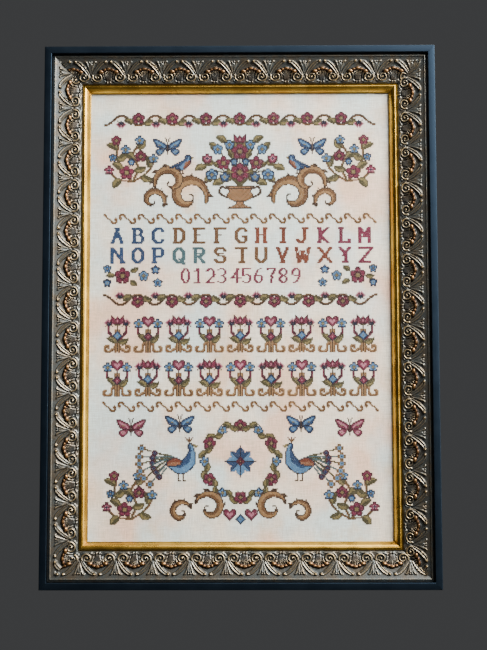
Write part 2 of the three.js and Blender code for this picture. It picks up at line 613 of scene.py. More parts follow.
@dataclass(frozen=True)
class DyedLinen:
    """Even-weave linen, dyed by hand in clouds of cream, blush, tea and cool grey."""

    pitch: float
    cream: Colour = linear(0xE6DFD0)
    blush: Colour = linear(0xE4BEA8)
    cool: Colour = linear(0xC4DCE0)
    tea: Colour = linear(0xD3B48C)
    gap: Colour = linear(0x7E7260)
    warm: Cloud = Cloud(85, 3, 0.5)
    cold: Cloud = Cloud(1, 3, 0.5)
    cold_scale: Triple = (14, 14, 11)
    cold_turn: Triple = (0.4, 0.2, 0.1)
    stain: Cloud = Cloud(42, 4, 0.65)
    fleck: Cloud = Cloud(2.4, 3, 0.7)
    slub: Grain = Grain(60, 1500, 2, 0.5)
    blushing: Span = Span(0, 1, 0.42, 0.6)
    cooling: Span = Span(0, 0.9, 0.46, 0.62)
    staining: Span = Span(0, 0.65, 0.52, 0.74)
    flecking: Span = Span(0, 0.2, 0.48, 0.72)
    slubbing: Span = Span(0, 0.46, 0.8, 1.25)
    gapping: Span = Span(0.45, 0, 0.02, 0.3)
    weave_bump: Bump = Bump(0.12, 0.7)
    roughness: float = 0.92
    sheen: float = 0.2

    def material(self) -> bpy.types.Material:
        """Makes the cloth: dye clouds, uneven threads both ways, and the weave's relief.

        Returns:
            The material.
        """
        recipe = Recipe("dyed_linen")
        warm = recipe.noise(*self.warm)
        cold = recipe.noise(*self.cold, recipe.stretched(self.cold_scale, self.cold_turn))
        stain = recipe.noise(*self.stain)
        fleck = recipe.noise(*self.fleck)
        dye = recipe.mix(recipe.span(warm, self.blushing), self.cream, self.blush)
        dye = recipe.mix(recipe.span(cold, self.cooling), dye, self.cool)
        dye = recipe.mix(recipe.span(stain, self.staining), dye, self.tea)
        dye = recipe.mix(recipe.span(fleck, self.flecking), dye, self.gap)
        warp = recipe.threads(self.pitch, "X")
        weft = recipe.threads(self.pitch, "Z")
        weave = recipe.sum(warp, weft, "MULTIPLY")
        slub = recipe.sum(recipe.streaks(False, self.slub), recipe.streaks(True, self.slub))
        dye = recipe.mix(recipe.span(slub, self.slubbing), dye, self.gap)
        colour = recipe.mix(recipe.span(weave, self.gapping), dye, self.gap)
        height = recipe.sum(recipe.sum(weave, slub), slub)
        return recipe.finish(colour, self.roughness, recipe.bump(height, self.weave_bump), sheen=self.sheen)


@dataclass(frozen=True)
class StrandedCotton:
    """Cotton floss of one colour, a little uneven from stitch to stitch."""

    name: str
    colour: Colour
    stitch: float
    deepen: float = 0.62
    patch_stitches: float = 1.6
    fade: Cloud = Cloud(45, 2)
    strand: Cloud = Cloud(0.16, 1)
    shading: Span = Span(0, 1, 0.8, 1.25)
    strand_bump: Bump = Bump(0.06, 0.6)
    gleam: float = 0.22
    roughness: float = 0.7
    sheen: float = 0.02

    def material(self) -> bpy.types.Material:
        """Makes the floss with its faint strands and a soft sheen.

        Returns:
            The material.
        """
        recipe = Recipe(f"floss_{self.name}")
        patch = recipe.noise(self.stitch * self.patch_stitches, 2)
        shade = recipe.span(recipe.sum(patch, recipe.noise(*self.fade)), self.shading)
        strand = recipe.noise(*self.strand)
        colour = recipe.mix(shade, dimmed(self.colour, self.deepen), self.colour)
        recipe.surface.inputs["Specular IOR Level"].default_value = self.gleam
        return recipe.finish(colour, self.roughness, recipe.bump(strand, self.strand_bump), sheen=self.sheen)


@dataclass(frozen=True)
class PulpBoard:
    """Grey pulp board with flecks."""

    pale: Colour = linear(0xA79D8C)
    dark: Colour = linear(0x7E7466)
    fleck: Cloud = Cloud(0.7)
    cloud: Cloud = Cloud(70)
    flecking: Span = Span(0, 0.7, 0.5, 0.8)
    clouding: Span = Span(0, 0.3, 0.35, 0.7)
    fleck_bump: Bump = Bump(0.08, 0.6)
    roughness: float = 0.93

    def material(self) -> bpy.types.Material:
        """Makes the board.

        Returns:
            The material.
        """
        recipe = Recipe("pulp_board")
        fleck = recipe.noise(*self.fleck)
        cloud = recipe.noise(*self.cloud)
        shade = recipe.sum(recipe.span(fleck, self.flecking), recipe.span(cloud, self.clouding))
        colour = recipe.mix(shade, self.pale, self.dark)
        return recipe.finish(colour, self.roughness, recipe.bump(fleck, self.fleck_bump))


@dataclass(frozen=True)
class BareWood:
    """The sealed bare wood of the rails' backs, with its grain along the rail."""

    pale: Colour = linear(0xC2A276)
    dark: Colour = linear(0x94703F)
    grain: Grain = Grain(12.0, 420.0, 5, 0.65)
    darkening: Span = Span(0, 1, 0.35, 0.68)
    grain_bump: Bump = Bump(0.1, 0.6)
    roughness: float = 0.72

    def material(self, level: bool) -> bpy.types.Material:
        """Makes the wood, with its grain along the rail.

        Args:
            level: Whether it is for a level rail and not an upright one.

        Returns:
            The material.
        """
        recipe = Recipe("wood_level" if level else "wood_upright")
        grain = recipe.streaks(level, self.grain)
        colour = recipe.mix(recipe.span(grain, self.darkening), self.pale, self.dark)
        return recipe.finish(colour, self.roughness, recipe.bump(grain, self.grain_bump))


@dataclass(frozen=True)
class PaleFloor:
    """A plain pale studio floor."""

    colour: Colour = linear(0xB0AEAA)
    dim: float = 0.94
    cloud: Cloud = Cloud(900, 2)
    roughness: float = 0.8

    def material(self) -> bpy.types.Material:
        """Makes the floor.

        Returns:
            The material.
        """
        recipe = Recipe("pale_floor")
        cloud = recipe.noise(*self.cloud)
        return recipe.finish(recipe.mix(cloud, dimmed(self.colour, self.dim), self.colour), self.roughness)


def arc(centre: tuple[float, float], radius: float, start: float, end: float, steps: int = 6) -> Path:
    """A round stretch of an outline.

    Args:
        centre: The arc's centre, inwards and forwards.
        radius: Its radius.
        start: The angle where it starts, in degrees, from inwards towards the front.
        end: The angle where it ends.
        steps: How many spans it has.

    Returns:
        The arc's points.
    """
    turn = np.radians(np.linspace(start, end, steps + 1))
    return [(centre[0] + radius * math.cos(t), centre[1] + radius * math.sin(t)) for t in turn]


@dataclass
class Moulding:
    """Four mitred rails with one outline, which runs from the outer back round the front."""

    size: FrameSize
    node: str = "rail"
    slot: str = "rail"
    mitre_gap: float = 0.06
    crease: float = 42.0

    def outline(self) -> Path:
        """The section's points, each inwards and forwards."""
        raise NotImplementedError

    def ends(self, side: Side, inward: np.ndarray) -> np.ndarray:
        """How far a rail reaches from its middle, at the given distances inwards."""
        return self.size.length(side) / 2 - np.asarray(inward) - self.mitre_gap

    def close_ends(self, skin: Skin, rows: Sequence[np.ndarray]) -> None:
        """Closes the rail at its two mitres."""
        skin.faces.append([int(row[0]) for row in reversed(rows)])
        skin.faces.append([int(row[-1]) for row in rows])

    def rail(self, side: Side) -> bpy.types.Mesh:
        """Sweeps the outline along one rail, from mitre to mitre.

        Args:
            side: The rail.

        Returns:
            The rail's mesh.
        """
        skin = Skin()
        rows = []
        for inward, depth in self.outline():
            end = float(self.ends(side, inward))
            rows.append(skin.add(self.size.place(side, np.array([-end, end]), inward, depth)))
        for row, after in zip(rows, rows[1:] + rows[:1]):
            skin.between(row, after)
        self.close_ends(skin, rows)
        return skin.mesh(f"{self.node}_{side.label}", self.crease)

    def finishes(self, side: Side) -> bpy.types.Material:
        """The finish of one rail."""
        raise NotImplementedError

    def build(self) -> list[bpy.types.Object]:
        """Makes the four rails, each in place of its solid.

        Returns:
            The four pieces.
        """
        made = []
        for side in Side:
            name = f"{self.node}_{side.label}"
            piece = fit(f"{name}_dressed", self.rail(side), self.finishes(side), [name])
            self.bare_back(piece, side)
            made.append(piece)
        return made

    def bare_back(self, piece: bpy.types.Object, side: Side) -> None:
        """Finishes the rail's back, where it differs from its face."""


@dataclass
class CapRails(Moulding):
    """The black outer cap: square, with softened front edges."""

    node: str = "cap_rail"
    slot: str = "cap"
    width: float = 8.5
    depth: float = 30.0
    rounding: float = 0.8
    lacquer: BlackLacquer = BlackLacquer()
    materials: dict[bool, bpy.types.Material] = field(default_factory=dict)

    def outline(self) -> Path:
        """The section, with its two front edges rounded.

        Returns:
            The section's points, each inwards and forwards.
        """
        front = self.depth - self.rounding
        outer = arc((self.rounding, front), self.rounding, 180, 90)
        inner = arc((self.width - self.rounding, front), self.rounding, 90, 0)
        return [(0.0, 0.0), *outer, *inner, (self.width, 0.0)]

    def finishes(self, side: Side) -> bpy.types.Material:
        """The lacquer, which is made once for each direction of rail.

        Args:
            side: The rail.

        Returns:
            The lacquer, with its grain along the rail.
        """
        if side.level not in self.materials:
            self.materials[side.level] = self.lacquer.material(side.level)
        return self.materials[side.level]


@dataclass
class GiltFillet(Moulding):
    """The gold fillet: a flange under the carved lip, a bevelled crest and a slope to the cloth."""

    node: str = "gilt_fillet"
    slot: str = "fillet"
    outer: float = 38.7
    shoulder: float = 44.3
    sight: float = 54.4
    under: float = 11.8
    flange: float = 14.0
    crest: float = 19.8
    bevel: float = 2.5
    heel_round: float = 0.6
    crest_round: float = 0.9
    nose_round: float = 0.6
    nose_height: float = 1.2
    lip_width: float = 1.0
    lip_height: float = 1.9
    slope_spans: int = 8
    slope_power: float = 1.6
    gilt: BurnishedGilt = BurnishedGilt()
    leaf: bpy.types.Material | None = None

    def slope(self, start: tuple[float, float]) -> Path:
        """The hollow slope from the crest down to the lip.

        Args:
            start: The crest's last point.

        Returns:
            The slope's points after the first.
        """
        lip = (self.sight - self.lip_width, self.under + self.lip_height)
        return [(start[0] + (lip[0] - start[0]) * t, start[1] + (lip[1] - start[1]) * t**self.slope_power)
                for t in np.linspace(0, 1, self.slope_spans + 1)[1:]]

    def outline(self) -> Path:
        """The section: flange, bevel, rounded crest, slope and nose.

        Returns:
            The section's points, each inwards and forwards.
        """
        heel = arc((self.shoulder + self.heel_round, self.crest - self.bevel), self.heel_round, 180, 140, 2)
        middle = (self.shoulder + self.bevel + self.heel_round, self.crest - self.crest_round)
        crest = arc(middle, self.crest_round, 130, 50, 6)
        nose = arc((self.sight - self.nose_round, self.under + self.nose_height), self.nose_round, 75, 0, 4)
        return [(self.outer, self.under), (self.outer, self.flange), (self.shoulder, self.flange),
                *heel, *crest, *self.slope(crest[-1]), *nose, (self.sight, self.under)]

    def finishes(self, side: Side) -> bpy.types.Material:
        """The gold, which is made once.

        Args:
            side: The rail. Not used.

        Returns:
            The gold, which is the same on every rail.
        """
        if self.leaf is None:
            self.leaf = self.gilt.material()
        return self.leaf


class Cut(Enum):
    """A stroke's section: its share of dome, and its rim's share, place and half width."""

    ROUND = (1.0, 0.0, 0.0, 1.0)
    CHANNEL = (0.42, 0.6, 0.66, 0.24)
    SPLIT = (1.0, -0.4, 0.0, 0.22)

    def section(self, ratio: np.ndarray) -> np.ndarray:
        """The height over the section, as a share of the rise.

        Args:
            ratio: The distance from the stroke's middle, as a share of its half width.

        Returns:
            The height there.
        """
        dome, rim, at, width = self.value
        body = dome * np.sqrt(np.clip(1 - ratio**2, 0, None)) + rim * np.exp(-(((ratio - at) / width) ** 2))
        return body * np.clip((1.15 - ratio) / 0.15, 0, 1)


class Stroke(NamedTuple):
    """One ridge of the carving: its course, its half widths along it, its rise and its warmth."""

    course: Path
    halves: Sequence[float]
    rise: float
    warmth: float = 0.0
    cut: Cut = Cut.ROUND


class Boss(NamedTuple):
    """One rounded knob of the carving, seen from the front."""

    along: float
    across: float
    half_along: float
    half_across: float
    rise: float
    warmth: float = 0.0


@dataclass
class CarvedRepeat:
    """Half a repeat of the carving, from a shell's middle to the middle of the leaf beside it.

    Places are along from the shell's middle and across from the field's inner edge outwards.
    """

    pitch: float = 43.0
    width: float = 31.2
    step: float = 0.2
    wear: float = 0.24
    blur: float = 0.9
    deep: float = 0.7

    ARM = Stroke(
        ((3.4, 26.6), (6.8, 25.8), (11.6, 21.3), (15.6, 15.8), (18.4, 10.6), (19.0, 6.2), (17.6, 3.4)),
        (1.7, 2.35, 2.6, 2.3, 1.9, 1.4, 0.8), 2.5, 0.12, Cut.CHANNEL)
    VOLUTE = Stroke(
        ((18.9, 9.4), (18.7, 5.2), (16.3, 2.4), (12.9, 1.7), (9.7, 3.2), (8.5, 6.6), (9.8, 9.9), (12.9, 10.9),
         (15.5, 9.2), (15.4, 6.2), (13.4, 5.0)),
        (0.9, 1.1, 1.15, 1.1, 1.05, 1.0, 0.95, 0.9, 0.85, 0.8, 0.7), 2.5, 0.12)
    TENDRIL = Stroke(
        ((21.3, 7.4), (20.7, 3.6), (18.6, 1.0), (14.6, 0.1), (10.4, 0.2), (7.0, 0.9), (5.2, 2.3)),
        (0.7, 0.75, 0.75, 0.75, 0.75, 0.8, 0.9), 1.5)
    LEAF_RIM = Stroke(
        ((21.3, 10.2), (20.4, 14.6), (19.0, 19.4), (18.0, 23.4), (16.9, 26.6), (15.4, 27.3)),
        (0.5, 0.65, 0.8, 0.9, 1.0, 0.95), 1.9)
    LEAF_MIDDLE = Stroke(
        ((21.3, 12.0), (21.3, 16.0), (21.3, 20.0), (21.3, 23.6)), (0.7, 1.5, 2.3, 2.3), 1.6, 0.0, Cut.SPLIT)
    SHELL_RIDGE = Stroke(((5.2, 5.4), (5.9, 8.6), (7.0, 11.4)), (0.5, 0.75, 0.9), 2.2, 0.35)
    SHELL_CREST = (
        Boss(0.0, 17.5, 4.2, 2.8, 2.7, 1.0),
        Boss(4.6, 16.4, 3.1, 2.5, 2.6, 1.0),
        Boss(9.1, 13.8, 3.7, 3.0, 3.3, 1.0),
    )
    ARM_BUD = Boss(3.3, 27.2, 1.9, 1.7, 3.2, 0.3)
    VOLUTE_EYE = Boss(12.7, 6.6, 1.5, 1.5, 2.9, 0.2)
    BEADS = (
        Boss(1.7, 0.7, 1.25, 1.1, 2.0, 0.25),
        Boss(4.1, 1.3, 0.9, 0.9, 1.3, 0.1),
        Boss(20.2, 26.6, 1.0, 1.1, 2.1, 0.2),
    )
    FLUTES = 4
    FLUTE_SPREAD = (0.8, 1.2, 2.0)
    FLUTE_REACH = (3.0, 8.5, 14.8)
    FLUTE_HALVES = (0.36, 0.5, 0.74)
    FLUTE_RISE = 2.3
    FLUTE_WARMTH = 0.4
    FLUTE_FALL = 0.35
    COURSE_POINTS = 320

    def __post_init__(self) -> None:
        """Carves the half repeat and finds its hollows."""
        along = np.arange(0, self.pitch / 2 + self.step, self.step)
        across = np.arange(0, self.width + self.step, self.step)
        self.grid = np.stack(np.meshgrid(along, across, indexing="ij"), -1)
        self.height = np.zeros(self.grid.shape[:2])
        self.warmth = np.zeros_like(self.height)
        strokes = (self.ARM, self.VOLUTE, self.TENDRIL, self.LEAF_RIM, self.LEAF_MIDDLE, self.SHELL_RIDGE)
        for stroke in (*strokes, *self.flutes()):
            self.carve_stroke(stroke)
        for boss in (*self.SHELL_CREST, self.ARM_BUD, self.VOLUTE_EYE, *self.BEADS):
            self.carve_boss(boss)
        self.height = self.soften(self.height, self.wear)
        self.warmth = self.soften(self.warmth, self.wear)
        self.hollow = np.clip((self.soften(self.height, self.blur) - self.height) / self.deep, 0, 1)

    def flutes(self) -> list[Stroke]:
        """The shell's flutes, which spread a little from its foot to its crest.

        Returns:
            The flutes of half the shell, from its middle outwards.
        """
        made = []
        for k in range(self.FLUTES):
            spread = np.array(self.FLUTE_SPREAD) * k
            reach = np.array(self.FLUTE_REACH) - np.array([0, 0, self.FLUTE_FALL * k * k])
            course = tuple(zip(spread, reach))
            made.append(Stroke(course, self.FLUTE_HALVES, self.FLUTE_RISE, self.FLUTE_WARMTH))
        return made

    def raise_to(self, height: np.ndarray, warmth: float) -> None:
        """Keeps the higher of the carving so far and a new form, and the warmth of the higher.

        Args:
            height: The new form's height over the half repeat.
            warmth: The new form's warmth.
        """
        wins = height > self.height
        self.height = np.where(wins, height, self.height)
        self.warmth = np.where(wins, warmth, self.warmth)

    def carve_stroke(self, stroke: Stroke) -> None:
        """Adds one ridge.

        Args:
            stroke: The ridge.
        """
        course = spline(stroke.course, self.COURSE_POINTS)
        share = np.linspace(0, 1, len(course))
        half = np.interp(share, np.linspace(0, 1, len(stroke.halves)), stroke.halves)
        ratios = np.linalg.norm(self.grid[:, :, None] - course[None, None], axis=-1) / half
        width = half[ratios.argmin(-1)]
        rise = stroke.rise * np.minimum(1, width / half.max()) ** 0.5
        self.raise_to(rise * stroke.cut.section(ratios.min(-1)), stroke.warmth)

    def carve_boss(self, boss: Boss) -> None:
        """Adds one knob, on both sides of the half repeat's ends.

        Args:
            boss: The knob.
        """
        for middle in (boss.along, -boss.along, self.pitch - boss.along):
            share = ((self.grid[..., 0] - middle) / boss.half_along) ** 2
            share = share + ((self.grid[..., 1] - boss.across) / boss.half_across) ** 2
            self.raise_to(boss.rise * np.sqrt(np.clip(1 - share, 0, None)), boss.warmth)

    def soften(self, values: np.ndarray, radius: float) -> np.ndarray:
        """Blurs a map of the half repeat.

        Args:
            values: The map.
            radius: The blur's radius.

        Returns:
            The blurred map, of the same size.
        """
        reach = math.ceil(3 * radius / self.step)
        bell = np.exp(-0.5 * (np.arange(-reach, reach + 1) * self.step / radius) ** 2)
        bell /= bell.sum()
        soft = np.pad(values, reach, mode="reflect")
        for axis in (0, 1):
            soft = np.apply_along_axis(np.convolve, axis, soft, bell, mode="valid")
        return soft

    def read(self, values: np.ndarray, along: np.ndarray, across: np.ndarray) -> np.ndarray:
        """Reads a map of the half repeat at any place along a rail.

        Args:
            values: The map.
            along: Distances from a shell's middle.
            across: Distances from the sight edge.

        Returns:
            The values there, blended between the map's points.
        """
        folded = np.abs(along - self.pitch * np.round(along / self.pitch))
        u = np.clip(folded / self.step, 0, values.shape[0] - 1.001)
        v = np.clip(across / self.step, 0, values.shape[1] - 1.001)
        i, j = u.astype(int), v.astype(int)
        f, g = u - i, v - j
        low = values[i, j] * (1 - f) + values[i + 1, j] * f
        high = values[i, j + 1] * (1 - f) + values[i + 1, j + 1] * f
        return low * (1 - g) + high * g


@dataclass
class CarvedRails(Moulding):
    """The carved moulding: a plain ridged nose and a hollow field full of shells and scrolls."""

    node: str = "carved_rail"
    slot: str = "carving"
    crease: float = 75.0
    outer: float = 8.8
    shoulder: float = 25.0
    nose: float = 26.6
    ridge: float = 12.0
    field_outer: float = 12.8
    field_inner: float = 42.0
    sight: float = 44.0
    rabbet: float = 38.4
    rabbet_top: float = 14.3
    field_high: float = 25.4
    field_low: float = 18.8
    field_curve: float = 1.3
    edge_round: float = 0.4
    ridge_round: float = 0.7
    lip_round: float = 1.3
    lip_plain: float = 0.6
    lip_fade: float = 1.2
    step: float = 0.565
    station_share: float = 0.93
    full_relief: float = 2.6
    plain_shine: float = 0.3
    # Painted highlight: a pale line along the nose's ridge.
    ridge_painted_highlight: float = 0.2
    ridge_width: float = 0.5
    squeeze: float = 1.06
    repeat: CarvedRepeat = field(default_factory=CarvedRepeat)
    gilt: AntiqueGilt = AntiqueGilt()
    leaf: bpy.types.Material | None = None
    wood: dict[bool, bpy.types.Material] = field(default_factory=dict)

    # How far the nearest shell's middle lies from each rail's middle
    SHELL_OFFSETS = {Side.TOP: 13.5, Side.RIGHT: -8.0, Side.BOTTOM: -4.9, Side.LEFT: 13.4}
    BEVEL = ((1.4, 0.45), (2.3, 0.95))
    # A face of the back has a normal this near to +Y, and lies this close to the wall
    BACK_FACING = 0.9
    BACK_DEPTH = 0.5

    def face(self) -> np.ndarray:
        """The section's face, from the outer wall's top to the sight edge.

        Returns:
            An array of rows by two, inwards and forwards.
        """
        width = self.field_inner - self.field_outer
        across = np.linspace(width, 0, int(width / self.step) + 1)
        depth = self.field_low + (self.field_high - self.field_low) * (across / width) ** self.field_curve
        corner = (self.outer + self.edge_round, self.shoulder - self.edge_round)
        wall = arc(corner, self.edge_round, 180, 115, 2)
        bevel = [(self.outer + inward, self.shoulder + rise) for inward, rise in self.BEVEL]
        crest = arc((self.ridge, self.nose - self.ridge_round), self.ridge_round, 120, 35, 4)
        lip = arc((self.sight - self.lip_round, self.field_low - self.lip_round), self.lip_round, 80, 0, 4)
        return np.array([*wall, *bevel, *crest, *zip(self.field_inner - across, depth), *lip])

    def carving(self, side: Side, along: np.ndarray, inward: np.ndarray) -> tuple[np.ndarray, ...]:
        """Reads the carving over a rail's face.

        Args:
            side: The rail.
            along: Distances from the rail's middle.
            inward: Distances from the frame's outer edge.

        Returns:
            The relief, its warmth and its hollows.
        """
        scale = self.squeeze * self.repeat.width / (self.field_inner - self.field_outer)
        across = np.clip((self.field_inner - inward) * scale, 0, self.repeat.width) + 0 * along
        shell = along - self.SHELL_OFFSETS[side]
        fade = np.clip((self.sight - self.lip_plain - inward) / self.lip_fade, 0, 1)
        inside = fade * (inward > self.field_outer)
        maps = (self.repeat.height, self.repeat.warmth, self.repeat.hollow)
        return tuple(self.repeat.read(values, shell, across) * inside for values in maps)

    def wear(self, relief: np.ndarray, inward: np.ndarray) -> np.ndarray:
        """How far the leaf shows wear, with a painted highlight on the highest carving and along the nose's
        ridge.

        Args:
            relief: The relief over the face.
            inward: Distances from the frame's outer edge.

        Returns:
            The wear and painted highlight, from 0 in the ground to 1 on the highest carving.
        """
        # Painted highlight along the nose's ridge, on a paler plain band.
        on_ridge = np.exp(-(((inward - self.ridge) / self.ridge_width) ** 2))
        shine = np.where(inward < self.field_outer, self.plain_shine, 0) + self.ridge_painted_highlight * on_ridge
        return np.clip(relief / self.full_relief + shine, 0, 1)

    def close_back(self, skin: Skin, side: Side, face: np.ndarray) -> None:
        """Adds the rabbet and the flat back behind a rail's face, and closes its mitres.

        Args:
            skin: The rail's points and faces so far.
            side: The rail.
            face: The numbers of the face's points, in rows along the rail.
        """
        corners = ((self.sight, self.rabbet_top), (self.rabbet, self.rabbet_top), (self.rabbet, 0.0),
                   (self.outer, 0.0))
        plain = []
        for inward, depth in corners:
            end = float(self.ends(side, inward))
            plain.append(skin.add(self.size.place(side, np.array([-end, end]), inward, depth)))
        chain = [face[-1], *plain, face[0]]
        for row, after in zip(chain, chain[1:]):
            skin.between(row, after)
        self.close_ends(skin, [*face, *plain])

    def rail(self, side: Side) -> bpy.types.Mesh:
        """Makes one rail, with its carving in the face's own points.

        Args:
            side: The rail.

        Returns:
            The rail's mesh, with the wear and painted highlight, the warmth and the hollow on its points.
        """
        rows = self.face()
        inward, depth = rows[:, :1], rows[:, 1:]
        stations = int(self.size.length(side) * self.station_share / self.step)
        along = np.linspace(-1, 1, stations)[None] * self.ends(side, inward)
        relief, warmth, hollow = self.carving(side, along, inward)
        skin = Skin()
        numbers = skin.add(self.size.place(side, along, inward, depth + relief))
        skin.grid(numbers)
        self.close_back(skin, side, numbers)
        mesh = skin.mesh(f"{self.node}_{side.label}", self.crease)
        # The relief attribute holds wear and painted highlight, not the height.
        toning = {"relief": self.wear(relief, inward), "warmth": warmth, "hollow": hollow}
        for name, values in toning.items():
            self.store(mesh, name, values, skin.count - numbers.size)
        return mesh

    @staticmethod
    def store(mesh: bpy.types.Mesh, name: str, values: np.ndarray, spare: int) -> None:
        """Stores a value on the mesh's points, and 0 on its last few spare ones."""
        made = mesh.attributes.new(name, "FLOAT", "POINT")
        made.data.foreach_set("value", np.concatenate([values.ravel(), np.zeros(spare)]).astype(np.float32))

    def finishes(self, side: Side) -> bpy.types.Material:
        """The toned leaf, which is made once.

        Args:
            side: The rail. Not used.

        Returns:
            The leaf, which is the same on every rail.
        """
        if self.leaf is None:
            self.leaf = self.gilt.material()
        return self.leaf

    def bare_back(self, piece: bpy.types.Object, side: Side) -> None:
        """Leaves the rail's flat back in bare wood.

        Args:
            piece: The rail's piece.
            side: The rail.
        """
        if side.level not in self.wood:
            self.wood[side.level] = BareWood().material(side.level)
        piece.data.materials.append(self.wood[side.level])
        for face in piece.data.polygons:
            if face.normal.y > self.BACK_FACING and face.center.y > -self.BACK_DEPTH * MM:
                face.material_index = 1


@dataclass
class LinenCloth:
    """The stretched linen: a thin closed sheet whose face is never quite flat."""

    size: FrameSize
    low: Vector
    high: Vector
    cell: float = 2.5
    swell: float = 0.1
    flat_rim: float = 20.0
    thread: float = 25.4 / 36

    @property
    def front(self) -> float:
        """How far the cloth's face lies from the wall."""
        return -self.low.y / MM

    def waves(self, x: np.ndarray, z: np.ndarray) -> np.ndarray:
        """How far the face stands out from flat.

        Args:
            x: The places' X in millimetres.
            z: The places' Z in millimetres.

        Returns:
            The swell there, in millimetres.
        """
        slow = np.sin(x / 47 + 0.6 * np.sin(z / 61)) * np.sin(z / 53 + 0.9)
        quick = np.sin(x / 19 + z / 31) * np.sin(z / 23 - x / 41)
        return self.swell * (0.65 * slow + 0.35 * quick)

    def build(self) -> bpy.types.Object:
        """Makes the cloth in place of its solid.

        Returns:
            The cloth's piece.
        """
        x = np.linspace(self.low.x, self.high.x, int((self.high.x - self.low.x) / MM / self.cell) + 1) / MM
        z = np.linspace(self.high.z, self.low.z, int((self.high.z - self.low.z) / MM / self.cell) + 1) / MM
        columns, rows = np.meshgrid(x, z)
        edge = np.minimum(np.minimum(columns - x[0], x[-1] - columns), np.minimum(z[0] - rows, rows - z[-1]))
        depth = self.front - self.swell + self.waves(columns, rows) * np.clip(edge / self.flat_rim, 0, 1)
        skin = Skin()
        face = skin.add(np.stack([columns, -depth, rows], -1) * MM)
        skin.grid(face)
        back = self.high.y / MM
        ends = ((0, 0), (0, -1), (-1, -1), (-1, 0))
        corners = np.array([[x[i], back, z[j]] for i, j in ends])
        a, b, c, d = skin.add(corners * MM).tolist()
        skin.faces.append([d, c, b, a])
        sides = ((a, b, face[::-1, 0]), (b, c, face[-1, ::-1]), (c, d, face[:, -1]), (d, a, face[0]))
        for first, second, rim in sides:
            skin.faces.append([first, second, *rim.tolist()])
        finish = DyedLinen(self.thread).material()
        return fit("linen_cloth", skin.mesh("linen_cloth"), finish, ["linen"])


class Floss(Enum):
    """The floss colours: each one's mark on the chart and its sRGB colour."""

    ROSE_DARK = ("R", 0x340B1A)
    ROSE = ("r", 0x5A1C32)
    PINK = ("p", 0x966070)
    NAVY = ("N", 0x0E1428)
    BLUE = ("B", 0x1C3252)
    SKY = ("b", 0x466A8C)
    GOLD_BROWN = ("G", 0x523820)
    TAN = ("g", 0x785C3C)
    BARK = ("D", 0x2E1E12)
    OLIVE = ("o", 0x3A3620)
    OCHRE = ("y", 0x645A38)
    RUST = ("u", 0x5A2C1C)
    TERRACOTTA = ("t", 0x704A34)
    TEAL = ("q", 0x324A50)

    @property
    def mark(self) -> str:
        """The letter that stands for this floss on the chart."""
        return self.value[0]

    @property
    def colour(self) -> Colour:
        """The floss's linear colour."""
        return linear(self.value[1])


class Petals(Enum):
    """The colours of a flower: its outline, petals, inner ring and heart."""

    ROSE = "RrRy"
    ROSE_DARK_EYE = "RrpN"
    BLUE = "NbBy"
    BLUE_DARK = "NBby"
    GOLD_EYE = "GybN"
    RED_EYE = "RrBN"


class Bloom(NamedTuple):
    """A flower's place beside its group's foot, its radius in crosses and its colours."""

    across: float
    up: float
    radius: float
    petals: Petals


class Sprig(NamedTuple):
    """A leaf's place beside its group's foot, and its angle up from the right, in degrees."""

    across: float
    up: float
    angle: float


# Half motifs: the last mark of each row lies on the motif's middle column.
BUTTERFLY = (
    "..........D..",
    "NNNN.......D.",
    "NBBBNN.....D.",
    "NBbbBBNN...D.",
    ".NBbbbBBNN..D",
    ".NBBbbbbBBN.D",
    "..NBByybbBBND",
    "..NBBBBBbbBND",
    "...NNBBBBbBND",
    ".....NNNNNNND",
    "...NNBBBBBNND",
    "..NBbbbBBN.ND",
    "..NBbybbBN..D",
    "..NBBbbBN...D",
    "...NBBBN....D",
    "....NNN......",
)
TULIP = ("R.....", "RR...r", "RrR.Rr", "RrrRRr", "RrrRrp", "RrrRrp", ".RrrRr", "..RRRR", "...ooo")
BUD = ("...p.", "..prp", ".prRp", "prRNR", ".pRNN", "..oNN", ".o..N")
HEART = (".RRR..", "RrrrR.", "RrrrrR", "Rrrppr", "Rrrppp", ".Rrrpp", "..Rrrp", "...Rrr", "....Rr", ".....R")
DIAMOND = ("....N", "...NB", "..NBb", ".NBbb", "NBbby", ".NBbb", "..NBb", "...NB", "....N")

# A whole motif, which looks to the right.
BIRD = (
    "..............NNNN......",
    ".............NBBBBN.....",
    ".............NBNbBNyy...",
    ".............NBBbBNy....",
    "............NBBbbBN.....",
    "..........NNBBBbtuN.....",
    "........NNBBBbttuuN.....",
    "......NNBBBBbtttuuN.....",
    "....NNBBNBBbbttuuN......",
    "..NNBBNNBBbbbtuuN.......",
    "NNBBNNBBBbbbtuuN........",
    "NNNN.NBBNbbbuuN.........",
    ".....NNNNNbbNN..........",
    ".........NNN............",
    ".........D.D............",
    ".........D.D............",
    "........DD.DD...........",
)

